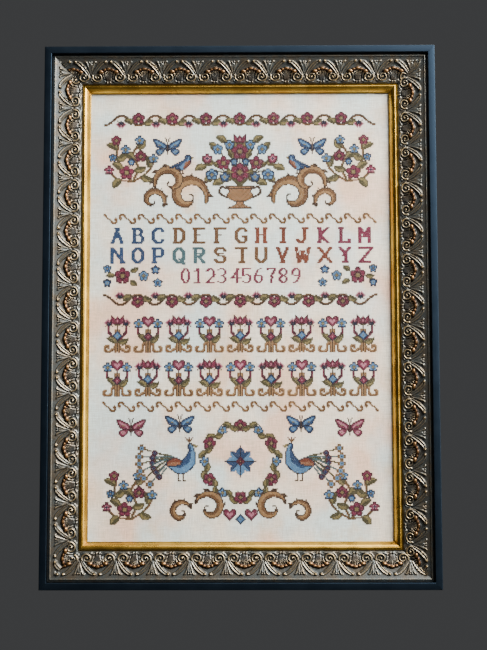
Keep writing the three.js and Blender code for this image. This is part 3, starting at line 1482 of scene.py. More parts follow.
# Plain capitals and figures as pen strokes in a box 8 wide and 10 high, down from the top left.
LETTERS = {
    "A": "0,10 4,0 8,10 / 2,6 6,6",
    "B": "1,0 1,10 / 0,0 5,0 7,2 7,3 5,5 1,5 / 5,5 8,7 8,8 6,10 0,10",
    "C": "8,2 6,0 3,0 0,3 0,7 3,10 6,10 8,8",
    "D": "1,0 1,10 / 0,0 5,0 8,3 8,7 5,10 0,10",
    "E": "1,0 1,10 / 0,0 8,0 8,1 / 1,5 5,5 / 0,10 8,10 8,9",
    "F": "1,0 1,10 / 0,0 8,0 8,1 / 1,5 5,5 / 0,10 3,10",
    "G": "8,2 6,0 3,0 0,3 0,7 3,10 6,10 8,8 8,6 5,6",
    "H": "1,0 1,10 / 7,0 7,10 / 1,5 7,5 / 0,0 2,0 / 0,10 2,10 / 6,0 8,0 / 6,10 8,10",
    "I": "4,0 4,10 / 2,0 6,0 / 2,10 6,10",
    "J": "6,0 6,8 4,10 2,10 0,8 / 4,0 8,0",
    "K": "1,0 1,10 / 8,0 2,5 8,10 / 0,0 2,0 / 0,10 2,10",
    "L": "1,0 1,10 / 0,0 3,0 / 0,10 8,10 8,8",
    "M": "0,10 0,0 4,6 8,0 8,10",
    "N": "0,10 0,0 8,10 8,0",
    "O": "3,0 5,0 8,3 8,7 5,10 3,10 0,7 0,3 3,0",
    "P": "1,0 1,10 / 0,0 6,0 8,2 8,4 6,6 1,6 / 0,10 3,10",
    "Q": "3,0 5,0 8,3 8,7 5,10 3,10 0,7 0,3 3,0 / 5,7 8,11",
    "R": "1,0 1,10 / 0,0 6,0 8,2 8,3 6,5 1,5 / 4,5 8,10",
    "S": "8,2 6,0 2,0 0,2 0,3 2,5 6,5 8,7 8,8 6,10 2,10 0,8",
    "T": "4,0 4,10 / 0,1 0,0 8,0 8,1 / 2,10 6,10",
    "U": "0,0 0,7 3,10 5,10 8,7 8,0",
    "V": "0,0 4,10 8,0",
    "W": "-1,0 1,10 4,2 7,10 9,0",
    "X": "0,0 8,10 / 8,0 0,10",
    "Y": "0,0 4,5 8,0 / 4,5 4,10 / 2,10 6,10",
    "Z": "0,1 0,0 8,0 0,10 8,10 8,9",
    "0": "3,0 5,0 7,3 7,7 5,10 3,10 1,7 1,3 3,0",
    "1": "2,2 4,0 4,10 / 2,10 6,10",
    "2": "1,2 3,0 5,0 7,2 7,4 1,10 7,10",
    "3": "1,1 3,0 5,0 7,2 7,3 5,5 3,5 / 5,5 7,7 7,8 5,10 3,10 1,9",
    "4": "6,10 6,0 1,7 8,7",
    "5": "7,0 1,0 1,5 5,4 7,6 7,8 5,10 3,10 1,9",
    "6": "6,0 3,1 1,5 1,8 3,10 5,10 7,8 7,6 5,5 2,5",
    "7": "1,1 1,0 7,0 4,6 3,10",
    "8": "3,0 5,0 7,2 7,3 5,5 3,5 1,3 1,2 3,0 / 5,5 7,7 7,8 5,10 3,10 1,8 1,7 3,5",
    "9": "2,10 5,9 7,5 7,2 5,0 3,0 1,2 1,4 3,5 6,5",
}
LETTER_MIDDLE = (4.8, 5.0)
STEEP = 0.8


@dataclass
class Chart:
    """A chart of crosses, one mark for each, with columns from the left and rows from the top."""

    columns: int = 233
    rows: int = 353
    cells: np.ndarray = field(init=False)

    def __post_init__(self) -> None:
        """Starts with a bare cloth."""
        self.cells = np.full((self.rows, self.columns), "", dtype="<U1")

    @property
    def middle(self) -> int:
        """The middle column."""
        return self.columns // 2

    def put(self, column: float, row: float, mark: str) -> None:
        """Sets one cross, if it lies on the chart and its mark isn't a blank.

        Args:
            column: The cross's column.
            row: The cross's row.
            mark: Its mark.
        """
        column, row = round(column), round(row)
        if 0 <= row < self.rows and 0 <= column < self.columns and mark != ".":
            self.cells[row, column] = mark

    def stamp(self, motif: Sequence[str], column: float, row: float, half: bool = True,
              swap: str = "") -> None:
        """Sets a charted motif.

        Args:
            motif: The motif's rows of marks.
            column: The column of the motif's middle.
            row: The motif's top row.
            half: Whether the rows hold the left half only.
            swap: Pairs of marks, each an old one and the new one that takes its place.
        """
        change = dict(zip(swap[::2], swap[1::2]))
        for r, marks in enumerate(motif):
            line = marks + marks[-2::-1] if half else marks
            for c, mark in enumerate(line):
                self.put(column - len(line) // 2 + c, row + r, change.get(mark, mark))

    def trace(self, points: np.ndarray, mark: str) -> None:
        """Sets the crosses under a dense row of points."""
        for x, y in points:
            self.put(x, y, mark)

    def stem(self, points: Path, mark: str) -> None:
        """Sets a smooth thin stem through a few points."""
        self.trace(spline(points, 400), mark)

    def line(self, points: Path, mark: str) -> None:
        """Sets straight lines from point to point.

        Args:
            points: The points, each a column and a row.
            mark: The lines' mark.
        """
        for (x0, y0), (x1, y1) in zip(points, points[1:]):
            count = 2 * math.ceil(max(abs(x1 - x0), abs(y1 - y0))) + 1
            self.trace(np.linspace((x0, y0), (x1, y1), count), mark)

    def brush(self, path: np.ndarray, widths: np.ndarray, marks: str) -> None:
        """Fills a band of changing width.

        Args:
            path: The band's middle line.
            widths: Half its width at each point of the line.
            marks: The marks of its edge, of its body, and of the body's other, lighter side.
        """
        low = np.clip(np.floor(path.min(0) - widths.max() - 1).astype(int), 0, None)
        high = np.clip(np.ceil(path.max(0) + widths.max() + 2).astype(int), 0, None)
        window = (slice(low[1], high[1]), slice(low[0], high[0]))
        rows, columns = np.mgrid[0:self.rows, 0:self.columns]
        cell = np.stack([columns[window], rows[window]], -1).astype(float)
        away = cell[:, :, None, :] - path[None, None]
        share = np.linalg.norm(away, axis=-1) / np.maximum(widths, 0.3)
        nearest = share.argmin(-1)
        ratio = share.min(-1)
        run = np.gradient(path, axis=0)[nearest]
        offset = np.take_along_axis(away, nearest[..., None, None], 2)[:, :, 0]
        side = run[..., 0] * offset[..., 1] - run[..., 1] * offset[..., 0]
        half = widths[nearest]
        edge = (half <= 1.6) | (ratio > 1 - 0.9 / np.maximum(half, 1))
        marked = np.where(edge, marks[0], np.where(side > 0, marks[1], marks[2]))
        inside = ratio <= 1.0
        self.cells[window][inside] = marked[inside]

    def leaf(self, column: float, row: float, angle: float, length: float = 8, half: float = 2.1,
             marks: str = "oyo") -> None:
        """Sets a pointed leaf that bends a little.

        Args:
            column: The column of its stalk.
            row: The row of its stalk.
            angle: Its direction, in degrees up from the right.
            length: Its length.
            half: Half its greatest width.
            marks: The marks of its edge and its two sides.
        """
        turn = math.radians(angle)
        t = np.linspace(0, 1, 60)
        bend = 0.12 * length * np.sin(math.pi * t)
        x = column + length * t * math.cos(turn) + bend * math.sin(turn)
        y = row - length * t * math.sin(turn) + bend * math.cos(turn)
        self.brush(np.stack([x, y], -1), half * np.sin(math.pi * t**0.8) + 0.2, marks)

    def flower(self, column: float, row: float, radius: float, petals: Petals, count: int = 5,
               turn: float = 90) -> None:
        """Sets a round flower.

        Args:
            column: The column of its heart.
            row: The row of its heart.
            radius: Its radius.
            petals: Its colours.
            count: How many petals it has.
            turn: The direction of its first petal, in degrees up from the right.
        """
        outline, fill, ring, heart = petals.value
        column, row = round(column), round(row)
        reach = int(radius) + 1
        for dy in range(-reach, reach + 1):
            for dx in range(-reach, reach + 1):
                distance = math.hypot(dx, dy)
                wave = abs(math.cos(count / 2 * (math.atan2(-dy, dx) - math.radians(turn))))
                edge = radius * (0.68 + 0.32 * wave**0.7)
                if distance > edge + 0.2:
                    continue
                if distance < 0.24 * radius:
                    mark = heart
                elif distance < 0.46 * radius:
                    mark = ring
                elif distance > edge - 0.9 or wave < 0.3:
                    mark = outline
                else:
                    mark = fill
                self.put(column + dx, row + dy, mark)

    def scroll(self, column: float, row: float, size: float, start: float, turns: float,
               way: int = 1) -> None:
        """Sets a curling leaf that winds in to its eye, with small lobes on its back.

        Args:
            column: The column of its eye.
            row: The row of its eye.
            size: The distance from its eye to its tail.
            start: The direction of its tail, in degrees up from the right.
            turns: How many times it winds.
            way: 1 if it winds towards the left at its top, or -1.
        """
        marks = "DGg"
        t = np.linspace(0, 1, 260)
        angle = math.radians(start) + way * t * turns * 2 * math.pi
        reach = size * (1 - t) ** 0.75 + 1.2
        path = np.stack([column + reach * np.cos(angle), row - reach * np.sin(angle)], -1)
        widths = size * 0.26 * np.sin(math.pi * np.minimum(t * 1.15 + 0.06, 1)) ** 0.8 + 0.6
        for share in (0.1, 0.2, 0.31, 0.43):
            k = int(share * 259)
            outwards = math.degrees(angle[k]) - way * 62
            length = size * 0.5 * (1 - share * 0.7) + widths[k]
            self.leaf(path[k, 0], path[k, 1], outwards, length, size * 0.13, marks)
        self.brush(path, widths, marks)

    def text(self, letters: str, row: float, colours: str, pitch: float, left: float, scale: float = 1.0,
             weight: int = 2) -> None:
        """Sets a row of plain letters or figures with thick uprights.

        Args:
            letters: The letters.
            row: The row of their tops.
            colours: The marks that they take in turn.
            pitch: The columns from one letter to the next.
            left: The first letter's left column.
            scale: Their size, where 1 is 10 rows high.
            weight: How many crosses wide their uprights are.
        """
        for k, letter in enumerate(letters):
            corner = (round(left + k * pitch), row)
            for stroke in LETTERS[letter].split(" / "):
                points = [tuple(float(n) for n in point.split(",")) for point in stroke.split()]
                for ends in zip(points, points[1:]):
                    self.pen_stroke(corner, ends, scale, weight, colours[k % len(colours)])

    def pen_stroke(self, corner: tuple[float, float], ends: Path, scale: float, weight: int,
                   mark: str) -> None:
        """Sets one straight stroke of a letter, thickened towards the letter's middle.

        Args:
            corner: The column and row of the letter box's top left corner.
            ends: The stroke's two ends in the letter box.
            scale: The letter's size.
            weight: How many crosses wide a steep stroke is. A level one is one less.
            mark: The stroke's mark.
        """
        (x0, y0), (x1, y1) = ends
        steep = abs(y1 - y0) > abs(x1 - x0) * STEEP
        inner = 1 if x0 + x1 < 2 * LETTER_MIDDLE[0] else -1
        lower = 1 if y0 + y1 < 2 * LETTER_MIDDLE[1] else -1
        for shift in range(weight if steep else weight - 1):
            left = corner[0] + (shift * inner if steep else 0)
            top = corner[1] + (0 if steep else shift * lower)
            self.line([(left + x0 * scale, top + y0 * scale), (left + x1 * scale, top + y1 * scale)], mark)

    def mirror(self, top: int, bottom: int) -> None:
        """Repeats the left half on the right, between two rows."""
        self.cells[top:bottom, self.middle + 1:] = self.cells[top:bottom, :self.middle][:, ::-1]


@dataclass
class SamplerDesign:
    """A band sampler: vines, an urn of flowers, plain letters and figures, plants and a wreath."""

    chart: Chart = field(default_factory=Chart)

    SPRAY_BLOOMS = (
        Bloom(15, 6, 6.4, Petals.ROSE), Bloom(6, 34, 4.6, Petals.ROSE), Bloom(27, 20, 5.2, Petals.ROSE),
        Bloom(0, 8, 4.2, Petals.ROSE_DARK_EYE), Bloom(26, 34, 4.2, Petals.BLUE),
        Bloom(14, 26, 4.2, Petals.BLUE), Bloom(38, 18, 4.2, Petals.BLUE), Bloom(3, 19, 3.6, Petals.BLUE),
        Bloom(19, 15, 3.4, Petals.BLUE_DARK),
    )
    SPRAY_SPRIGS = (
        Sprig(11, 9, 150), Sprig(7, 18, 30), Sprig(22, 8, 20), Sprig(21, 18, 150), Sprig(28, 3, -20),
        Sprig(34, 11, 100), Sprig(10, 0, 230), Sprig(7, 27, 160), Sprig(25, 27, 60),
    )
    SPRAY_STEMS = (
        ((20, -2), (10, 8), (6, 20), (8, 34)), ((20, -2), (24, 10), (20, 22), (26, 32)),
        ((20, -2), (8, 0), (0, 6)), ((20, -2), (32, 6), (38, 16)),
    )
    BOUQUET_BLOOMS = (
        Bloom(14, 20, 6.2, Petals.ROSE), Bloom(24, 10, 5.4, Petals.BLUE), Bloom(9, 36, 4.4, Petals.BLUE),
        Bloom(19, 32, 4.8, Petals.BLUE), Bloom(28, 24, 4.4, Petals.ROSE_DARK_EYE),
        Bloom(13, 8, 4.4, Petals.BLUE_DARK), Bloom(5, 21, 3.6, Petals.BLUE_DARK),
    )
    BOUQUET_SPRIGS = (
        Sprig(4, 8, 150), Sprig(8, 6, 190), Sprig(14, 4, 200), Sprig(22, 8, 210), Sprig(6, 24, 120),
        Sprig(14, 16, 160), Sprig(24, 18, 150), Sprig(3, 32, 140), Sprig(12, 38, 150), Sprig(20, 30, 130),
        Sprig(29, 17, 200),
    )
    BOUQUET_STEMS = ((0, 38), (8, 32), (16, 24), (22, 14), (12, 12), (18, 34), (26, 24))
    URN_HALVES = (12, 13, 12, 10, 9, 9, 10, 11, 11, 11, 10, 9, 7, 5, 3, 3, 4, 6, 9, 10)
    URN_BANDS = (0, 2, 13, 19)
    FIGURE_BLOOMS = (
        Bloom(16, 0, 7.0, Petals.ROSE), Bloom(34, 0, 4.6, Petals.BLUE), Bloom(44, 5, 4.0, Petals.BLUE_DARK),
        Bloom(46, -6, 4.0, Petals.BLUE), Bloom(3, 6, 3.6, Petals.BLUE), Bloom(3, -6, 3.6, Petals.BLUE_DARK),
    )
    FIGURE_SPRIGS = (Sprig(23, 4, 30), Sprig(23, -4, -30), Sprig(9, 0, 180))
    PLANT_PITCH = 26
    VINE_PITCH = 29
    CHAIN_PITCH = 16

    # The bands' top rows, from the top of the cloth down
    UPPER_VINE = 0
    FLOWER_GARDEN = 22
    UPPER_CHAIN = 90
    CAPITALS = ((102, "ABCDEFGHIJKLM", "BBBGGGGuuurrr"), (119, "NOPQRSTUVWXYZ", "BBBqqGGGuuurr"))
    FIGURES = 138
    LOWER_VINE = 156
    PLANTS = (177, 214)
    LOWER_CHAIN = 250
    WREATH_GARDEN = 262

    CAPITAL_LEFT = 6
    CAPITAL_PITCH = 17.6
    CAPITAL_SCALE = 1.3
    CAPITAL_WEIGHT = 3
    FIGURE_PITCH = 10.4
    FIGURE_SCALE = 1.2

    def work(self) -> Chart:
        """Charts the whole design, band after band from the top.

        Returns:
            The finished chart.
        """
        self.rose_vine(self.UPPER_VINE, 1)
        self.flower_garden(self.FLOWER_GARDEN)
        self.scroll_chain(self.UPPER_CHAIN)
        for row, letters, colours in self.CAPITALS:
            self.chart.text(letters, row, colours, self.CAPITAL_PITCH, self.CAPITAL_LEFT,
                            self.CAPITAL_SCALE, self.CAPITAL_WEIGHT)
        self.figures(self.FIGURES)
        self.rose_vine(self.LOWER_VINE, -1)
        self.plant_rows()
        self.scroll_chain(self.LOWER_CHAIN)
        self.wreath_garden(self.WREATH_GARDEN)
        return self.chart

    def plant_rows(self) -> None:
        """Two rows of plants, with tulips and hearts by turns along and down."""
        for k in range(-4, 5):
            plants = [self.tulip_plant, self.heart_plant]
            if k % 2:
                plants.reverse()
            for row, plant in zip(self.PLANTS, plants):
                plant(self.chart.middle + k * self.PLANT_PITCH, row)

    def rose_vine(self, row: int, way: int) -> None:
        """A waving stem with roses at its crests and buds between them.

        Args:
            row: The vine's top row.
            way: 1, or -1 for a vine upside down.
        """
        pitch = self.VINE_PITCH
        chart = self.chart
        x = np.arange(0, chart.columns, 0.25)
        y = row + 8 + way * 4.2 * np.cos((x - chart.middle) * 2 * math.pi / pitch)
        chart.trace(np.stack([x, y + way], -1), Floss.GOLD_BROWN.mark)
        chart.trace(np.stack([x, y], -1), Floss.BARK.mark)
        heart = row + 8 - way
        for k in range(-4, 5):
            column = chart.middle + k * pitch
            if 5 < column < chart.columns - 5:
                chart.leaf(column - 5, heart + way * 4, 180 - 20 * way, 8, 2.6)
                chart.leaf(column + 5, heart + way * 4, 20 * way, 8, 2.6)
                chart.flower(column, heart, 5.4, Petals.ROSE, 5, 90 * way)
            column = chart.middle + round((k + 0.5) * pitch)
            if 5 < column < chart.columns - 5:
                chart.stamp(BUD[::-1] if way > 0 else BUD, column, row + 9 if way > 0 else row + 1)

    def scroll_chain(self, row: int) -> None:
        """A running chain of S scrolls.

        Args:
            row: The chain's top row.
        """
        for k in range(-7, 8):
            c = self.chart.middle + k * self.CHAIN_PITCH
            for way in (-1, 1):
                course = ((1, 0), (4, 3), (7, 2), (6.4, -0.6), (4.6, 0))
                curl = spline([(c + way * x, row + 4 + way * y) for x, y in course], 120)
                self.chart.trace(curl, Floss.TAN.mark)
                self.chart.trace(curl + [0, way], Floss.GOLD_BROWN.mark)
            self.chart.line([(c - 1, row + 3), (c + 1, row + 5)], Floss.GOLD_BROWN.mark)

    def foot(self, column: int, row: int, points: Path) -> None:
        """A plant's curled golden foot, the same on both sides, and its trunk.

        Args:
            column: The plant's middle column.
            row: The plant's top row.
            points: The curl's points beside the middle and below the top.
        """
        chart = self.chart
        for way in (-1, 1):
            curl = spline([(column + way * x, row + y) for x, y in points], 160)
            for shift in ((0, -1), (way, 0), (way, -1)):
                chart.trace(curl + shift, Floss.TAN.mark)
            chart.trace(curl, Floss.GOLD_BROWN.mark)
            for away, mark in ((1, Floss.TAN.mark), (2, Floss.GOLD_BROWN.mark)):
                chart.line([(column + way * away, row + 12), (column + way * away, row + 31)], mark)

    def arm(self, course: np.ndarray, way: int) -> None:
        """A plant's thick rose arm.

        Args:
            course: The arm's dense row of points.
            way: 1 for an arm on the right, or -1.
        """
        for shift, floss in (((way, 0), Floss.ROSE), ((way, 1), Floss.ROSE), ((0, 1), Floss.ROSE_DARK)):
            self.chart.trace(course + shift, floss.mark)
        self.chart.trace(course, Floss.ROSE_DARK.mark)

    def tulip_plant(self, column: int, row: int) -> None:
        """A plant 32 crosses high: curled foot, diamond, arms with buds, and a tulip on top.

        Args:
            column: The column of its middle.
            row: The row of its top.
        """
        chart = self.chart
        self.foot(column, row, ((0, 24), (3, 29), (8, 31), (10, 28), (8, 26), (6.6, 28)))
        for way in (-1, 1):
            arm = spline([(column, row + 20), (column + way * 4, row + 17), (column + way * 7, row + 13),
                          (column + way * 7, row + 9)], 90)
            self.arm(arm, way)
            chart.leaf(column + way, row + 23, 90 - way * 65, 9, 2.4)
            chart.stamp(BUD, column + way * 7, row + 3)
        chart.line([(column, row + 8), (column, row + 30)], Floss.BARK.mark)
        chart.stamp(DIAMOND, column, row + 13)
        chart.stamp(TULIP, column, row)

    def heart_plant(self, column: int, row: int) -> None:
        """A plant 32 crosses high: curled foot, red diamond, blue flowers, and a heart on top.

        Args:
            column: The column of its middle.
            row: The row of its top.
        """
        chart = self.chart
        self.foot(column, row, ((0, 22), (4, 26), (4, 30), (9, 31), (11, 28), (8.5, 27)))
        for way in (-1, 1):
            arm = spline([(column, row + 19), (column + way * 5, row + 18), (column + way * 8, row + 14),
                          (column + way * 8, row + 11)], 90)
            self.arm(arm, way)
            chart.flower(column + way * 8, row + 7, 4.2, Petals.BLUE)
            chart.leaf(column + way * 2, row + 22, 90 - way * 50, 9, 2.4)
        chart.line([(column, row + 8), (column, row + 31)], Floss.BARK.mark)
        chart.stamp(HEART, column, row + 1)
        chart.stamp(DIAMOND, column, row + 14, swap="BRbrypN")

    def spray(self, column: int, row: int) -> None:
        """A corner spray of roses, small blue flowers and leaves, upwards from its foot.

        Args:
            column: The column of its left edge.
            row: The row of its foot.
        """
        chart = self.chart
        for stem in self.SPRAY_STEMS:
            chart.stem([(column + x, row - y) for x, y in stem], Floss.OLIVE.mark)
            chart.stem([(column + x + 1, row - y) for x, y in stem], Floss.GOLD_BROWN.mark)
        for sprig in self.SPRAY_SPRIGS:
            chart.leaf(column + sprig.across, row - sprig.up, sprig.angle, 10, 3.0)
        for bloom in self.SPRAY_BLOOMS:
            chart.flower(column + bloom.across, row - bloom.up, bloom.radius, bloom.petals)

    def urn(self, column: int, row: int) -> None:
        """A two-handled urn with a diapered body.

        Args:
            column: The column of its middle.
            row: The row of its rim.
        """
        chart = self.chart
        for down, half in enumerate(self.URN_HALVES):
            for across in range(-half, half + 1):
                edge = abs(across) == half or down in self.URN_BANDS
                chart.put(column + across, row + down, "D" if edge else "tgGg"[(abs(across) + down) % 4])
        handle = spline([(column - 10, row + 2), (column - 16, row + 1), (column - 17, row + 6),
                         (column - 11, row + 10)], 80)
        chart.brush(handle, np.ones(len(handle)), "DDD")

    def flower_garden(self, top: int) -> None:
        """The upper picture: an urn of flowers between scrolls with birds, butterflies and sprays.

        Args:
            top: The picture's top row.
        """
        chart = self.chart
        m = chart.middle
        rim = top + 44
        self.urn(m, rim)
        for across, up in self.BOUQUET_STEMS:
            chart.stem([(m, rim), (m - across * 0.4, rim - 10), (m - across, rim - up)], Floss.OLIVE.mark)
        for sprig in self.BOUQUET_SPRIGS:
            chart.leaf(m - sprig.across, rim - sprig.up, sprig.angle, 10, 3.1)
        chart.flower(m, rim - 30, 7.4, Petals.ROSE)
        chart.flower(m, rim - 12, 8.4, Petals.ROSE, 6)
        for bloom in self.BOUQUET_BLOOMS:
            chart.flower(m - bloom.across, rim - bloom.up, bloom.radius, bloom.petals)
        chart.stamp(TULIP, m, top - 1)
        chart.scroll(m - 44, top + 52, 15, -20, 1.15, 1)
        chart.scroll(m - 60, top + 40, 12, 200, 1.0, -1)
        chart.scroll(m - 74, top + 56, 9, -30, 1.0, 1)
        chart.stamp(BIRD, m - 48, top + 17, half=False)
        chart.stamp(BUTTERFLY, m - 62, top + 2)
        self.spray(4, top + 38)
        chart.mirror(top - 5, top + 66)

    def figures(self, row: int) -> None:
        """The figures 0 to 9 between flowers and leaves.

        Args:
            row: The row below the figures' tops.
        """
        chart = self.chart
        for way in (-1, 1):
            edge = chart.middle + way * chart.middle
            for bloom in self.FIGURE_BLOOMS:
                chart.flower(edge - way * bloom.across, row + 5 - bloom.up, bloom.radius, bloom.petals)
            for sprig in self.FIGURE_SPRIGS:
                angle = sprig.angle if way < 0 else 180 - sprig.angle
                chart.leaf(edge - way * sprig.across, row + 5 - sprig.up, angle, 7, 2.1)
        left = chart.middle - 51
        chart.text("0123456789", row - 1, Floss.ROSE.mark, self.FIGURE_PITCH, left, self.FIGURE_SCALE)

    def wreath(self, column: int, row: int, radius: float) -> None:
        """A ring of roses and blue flowers on a leafy stem.

        Args:
            column: The column of its middle.
            row: The row of its middle.
            radius: The radius of its stem.
        """
        chart = self.chart
        turn = np.linspace(0, 2 * math.pi, 500)
        ring = np.stack([column + radius * np.cos(turn), row + radius * np.sin(turn)], -1)
        chart.trace(ring, Floss.OLIVE.mark)
        places = 24
        for k in range(places):
            angle = 90 + k * 360 / places
            x = column + radius * math.cos(math.radians(angle))
            y = row - radius * math.sin(math.radians(angle))
            if k % 2:
                chart.leaf(x, y, angle + 60, 8, 2.5)
                chart.leaf(x, y, angle - 120, 7, 2.3)
            elif k % 4:
                chart.flower(x, y, 4.2, Petals.BLUE, 5, angle)
            else:
                chart.flower(x, y, 5.6, Petals.ROSE, 5, angle)

    def star(self, column: int, row: int, radius: int) -> None:
        """A star of eight two-tone points with a small rose at its heart.

        Args:
            column: The column of its middle.
            row: The row of its middle.
            radius: Its radius.
        """
        for dy in range(-radius, radius + 1):
            for dx in range(-radius, radius + 1):
                low, high = sorted((abs(dx), abs(dy)))
                spare = radius * 1.36 - low - high
                straight = high <= radius * 0.55 or low <= min(high * 0.42, (radius - high) * 0.9)
                diagonal = low > 0.42 * high and 0 <= spare and high - low <= spare * 0.7
                if straight or diagonal:
                    lit = (dx * dy > 0) == (abs(dx) > abs(dy))
                    seam = low == 0 or low == high
                    self.chart.put(column + dx, row + dy, "N" if seam else "b" if lit else "B")
        self.chart.flower(column, row, 3.4, Petals.ROSE, 4)

    def peacock(self, column: int, row: int) -> None:
        """A crested bird with a fan of eyed feathers behind it; it looks to the right.

        Args:
            column: The column of its back.
            row: The row of its crown.
        """
        chart = self.chart
        for k in range(6):
            angle = math.radians(158 + k * 13)
            for length, radius, eye in ((33, 3.3, Petals.GOLD_EYE), (22, 2.6, Petals.RED_EYE)):
                tip = (column + length * math.cos(angle), row + 14 - length * math.sin(angle) * 0.86)
                bend = ((column * 2 + tip[0]) / 3, row + 9 + k)
                chart.stem([(column, row + 14), bend, tip], Floss.TEAL.mark if k % 2 else Floss.OLIVE.mark)
                chart.flower(tip[0], tip[1], radius, eye, 4)
        course = ((-6, 18), (2, 19), (9, 14), (11, 6), (10, 1))
        body = spline([(column + x, row + y) for x, y in course], 120)
        half = np.interp(np.linspace(0, 1, len(body)), [0, 0.25, 0.5, 0.8, 1], [2.5, 6, 5.4, 2.6, 2.6])
        chart.brush(body, half, "NbB")
        chart.leaf(column + 3, row + 15, 190, 15, 3.6, "Nut")
        chart.line([(column + 13, row), (column + 16, row + 1)], Floss.OCHRE.mark)
        chart.line([(column + 13, row + 1), (column + 15, row + 2)], Floss.OCHRE.mark)
        chart.put(column + 11, row, Floss.OCHRE.mark)
        for dx in (-3, 0, 3):
            chart.line([(column + 9, row - 2), (column + 9 + dx, row - 6)], Floss.GOLD_BROWN.mark)
            chart.put(column + 9 + dx, row - 6, Floss.ROSE.mark)
        for dx in (0, 4):
            leg = ((dx, 24), (dx, 30), (dx + 2, 30))
            chart.line([(column + x, row + y) for x, y in leg], Floss.BARK.mark)

    def wreath_garden(self, top: int) -> None:
        """The lower picture: a wreath and a star between peacocks, butterflies, scrolls and sprays.

        Args:
            top: The picture's top row.
        """
        chart = self.chart
        m = chart.middle
        self.wreath(m, top + 38, 30)
        self.star(m, top + 38, 13)
        self.spray(4, top + 84)
        self.peacock(m - 52, top + 24)
        chart.scroll(m - 26, top + 76, 11, 160, 1.1, -1)
        chart.scroll(m - 50, top + 80, 8, 20, 1.1, 1)
        chart.stamp(BUTTERFLY, m - 92, top + 2, swap="NRBrbpyy")
        chart.stamp(BUTTERFLY, m - 51, top - 1)
        chart.stamp(DIAMOND, m, top + 82)
        chart.stamp(HEART, m - 9, top + 78)
        chart.mirror(top, chart.rows)


@dataclass
class CrossStitching:
    """Every cross of the design as two crossing legs of floss, joined by colour."""

    cloth: LinenCloth
    chart: Chart
    half_width: float = 0.54
    narrowing: float = 0.14
    leg_share: float = 0.96
    drop: float = 0.27
    under_rises: tuple[float, ...] = (0.2, 0.2)
    over_rises: tuple[float, ...] = (0.13, 0.48, 0.13)
    jitter: float = 0.03
    size_spread: float = 0.07
    crease: float = 80.0
    seed: int = 36

    @property
    def pitch(self) -> float:
        """The size of a cross, which spans two threads of the cloth."""
        return 2 * self.cloth.thread

    def leg(self, lean: int, stations: Sequence[float], rises: Sequence[float]) -> np.ndarray:
        """One leg's points about the cross's middle.

        Args:
            lean: 1 for a leg that rises to the right, or -1.
            stations: Places along the leg, from -1 to 1.
            rises: The ridge's height over the cloth at each of them.

        Returns:
            An array of stations by three by X, out of the cloth, and Z.
        """
        reach = self.pitch / 2 * self.leg_share
        points = []
        for at, rise in zip(stations, rises):
            half = self.half_width * (1 - self.narrowing * abs(at)) / math.sqrt(2)
            for side in (-1, 0, 1):
                across = side * half
                out = rise if side == 0 else rise - self.drop
                points.append((at * reach + across, out, lean * at * reach - lean * across))
        return np.array(points).reshape(len(stations), 3, 3)

    def places(self, mark: str) -> tuple[np.ndarray, np.ndarray]:
        """The middles of the crosses with one mark.

        Args:
            mark: The mark.

        Returns:
            Their X and their Z in millimetres.
        """
        rows, columns = np.nonzero(self.chart.cells == mark)
        x = (columns - self.chart.middle) * self.pitch
        z = self.cloth.size.centre - (rows - self.chart.rows // 2) * self.pitch
        return x, z

    def add_legs(self, skin: Skin, middles: tuple[np.ndarray, np.ndarray], lean: int,
                 rises: Sequence[float], rng: np.random.Generator) -> None:
        """Adds the legs that lean one way, one for each cross.

        Args:
            skin: The floss's points and faces so far.
            middles: The crosses' X and Z in millimetres.
            lean: 1 for legs that rise to the right, or -1.
            rises: The ridge's height over the cloth along a leg.
            rng: The source of the small differences between legs.
        """
        x, z = (values[:, None, None] for values in middles)
        form = self.leg(lean, np.linspace(-1, 1, len(rises)), rises)
        shift = rng.normal(0, self.jitter, (len(x), 2))
        size = rng.normal(1, self.size_spread, (len(x), 1, 1))
        px = x + form[..., 0] * size + shift[:, :1, None]
        pz = z + form[..., 2] * size + shift[:, 1:, None]
        face = self.cloth.front - self.cloth.swell + self.cloth.waves(px, pz)
        numbers = skin.add(np.stack([px, -(face + form[..., 1]), pz], -1) * MM)
        for i in range(len(rises) - 1):
            near, far = numbers[:, i], numbers[:, i + 1]
            for j in range(2):
                quad = [near[:, j], far[:, j], far[:, j + 1], near[:, j + 1]]
                skin.faces.extend(np.stack(quad[::-lean], -1).tolist())

    def colour_mesh(self, floss: Floss, rng: np.random.Generator) -> bpy.types.Mesh | None:
        """Joins the crosses of one floss into a mesh.

        Args:
            floss: The floss.
            rng: The source of the small differences between legs.

        Returns:
            The mesh, or None where the chart doesn't use the floss.
        """
        middles = self.places(floss.mark)
        if not len(middles[0]):
            return None
        skin = Skin()
        for lean, rises in ((1, self.under_rises), (-1, self.over_rises)):
            self.add_legs(skin, middles, lean, rises, rng)
        return skin.mesh(f"stitches_{floss.name.lower()}", self.crease)

    def build(self) -> list[bpy.types.Object]:
        """Makes one piece for each floss.

        Returns:
            The pieces.
        """
        rng = np.random.default_rng(self.seed)
        made = []
        for floss in Floss:
            mesh = self.colour_mesh(floss, rng)
            if mesh is not None:
                finish = StrandedCotton(floss.name.lower(), floss.colour, self.pitch)
                made.append(fit(mesh.name, mesh, finish.material()))
        return made


@dataclass
class Backing:
    """The board behind the cloth, which keeps its solid's shape."""

    node: str = "mount_board"
    board: PulpBoard = PulpBoard()

    def build(self) -> bpy.types.Object:
        """Gives the board its finish.

        Returns:
            The board's piece.
        """
        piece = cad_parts[self.node]
        piece.data.materials.clear()
        piece.data.materials.append(self.board.material())
        LOG.info("%s: finished", self.node)
        return piece


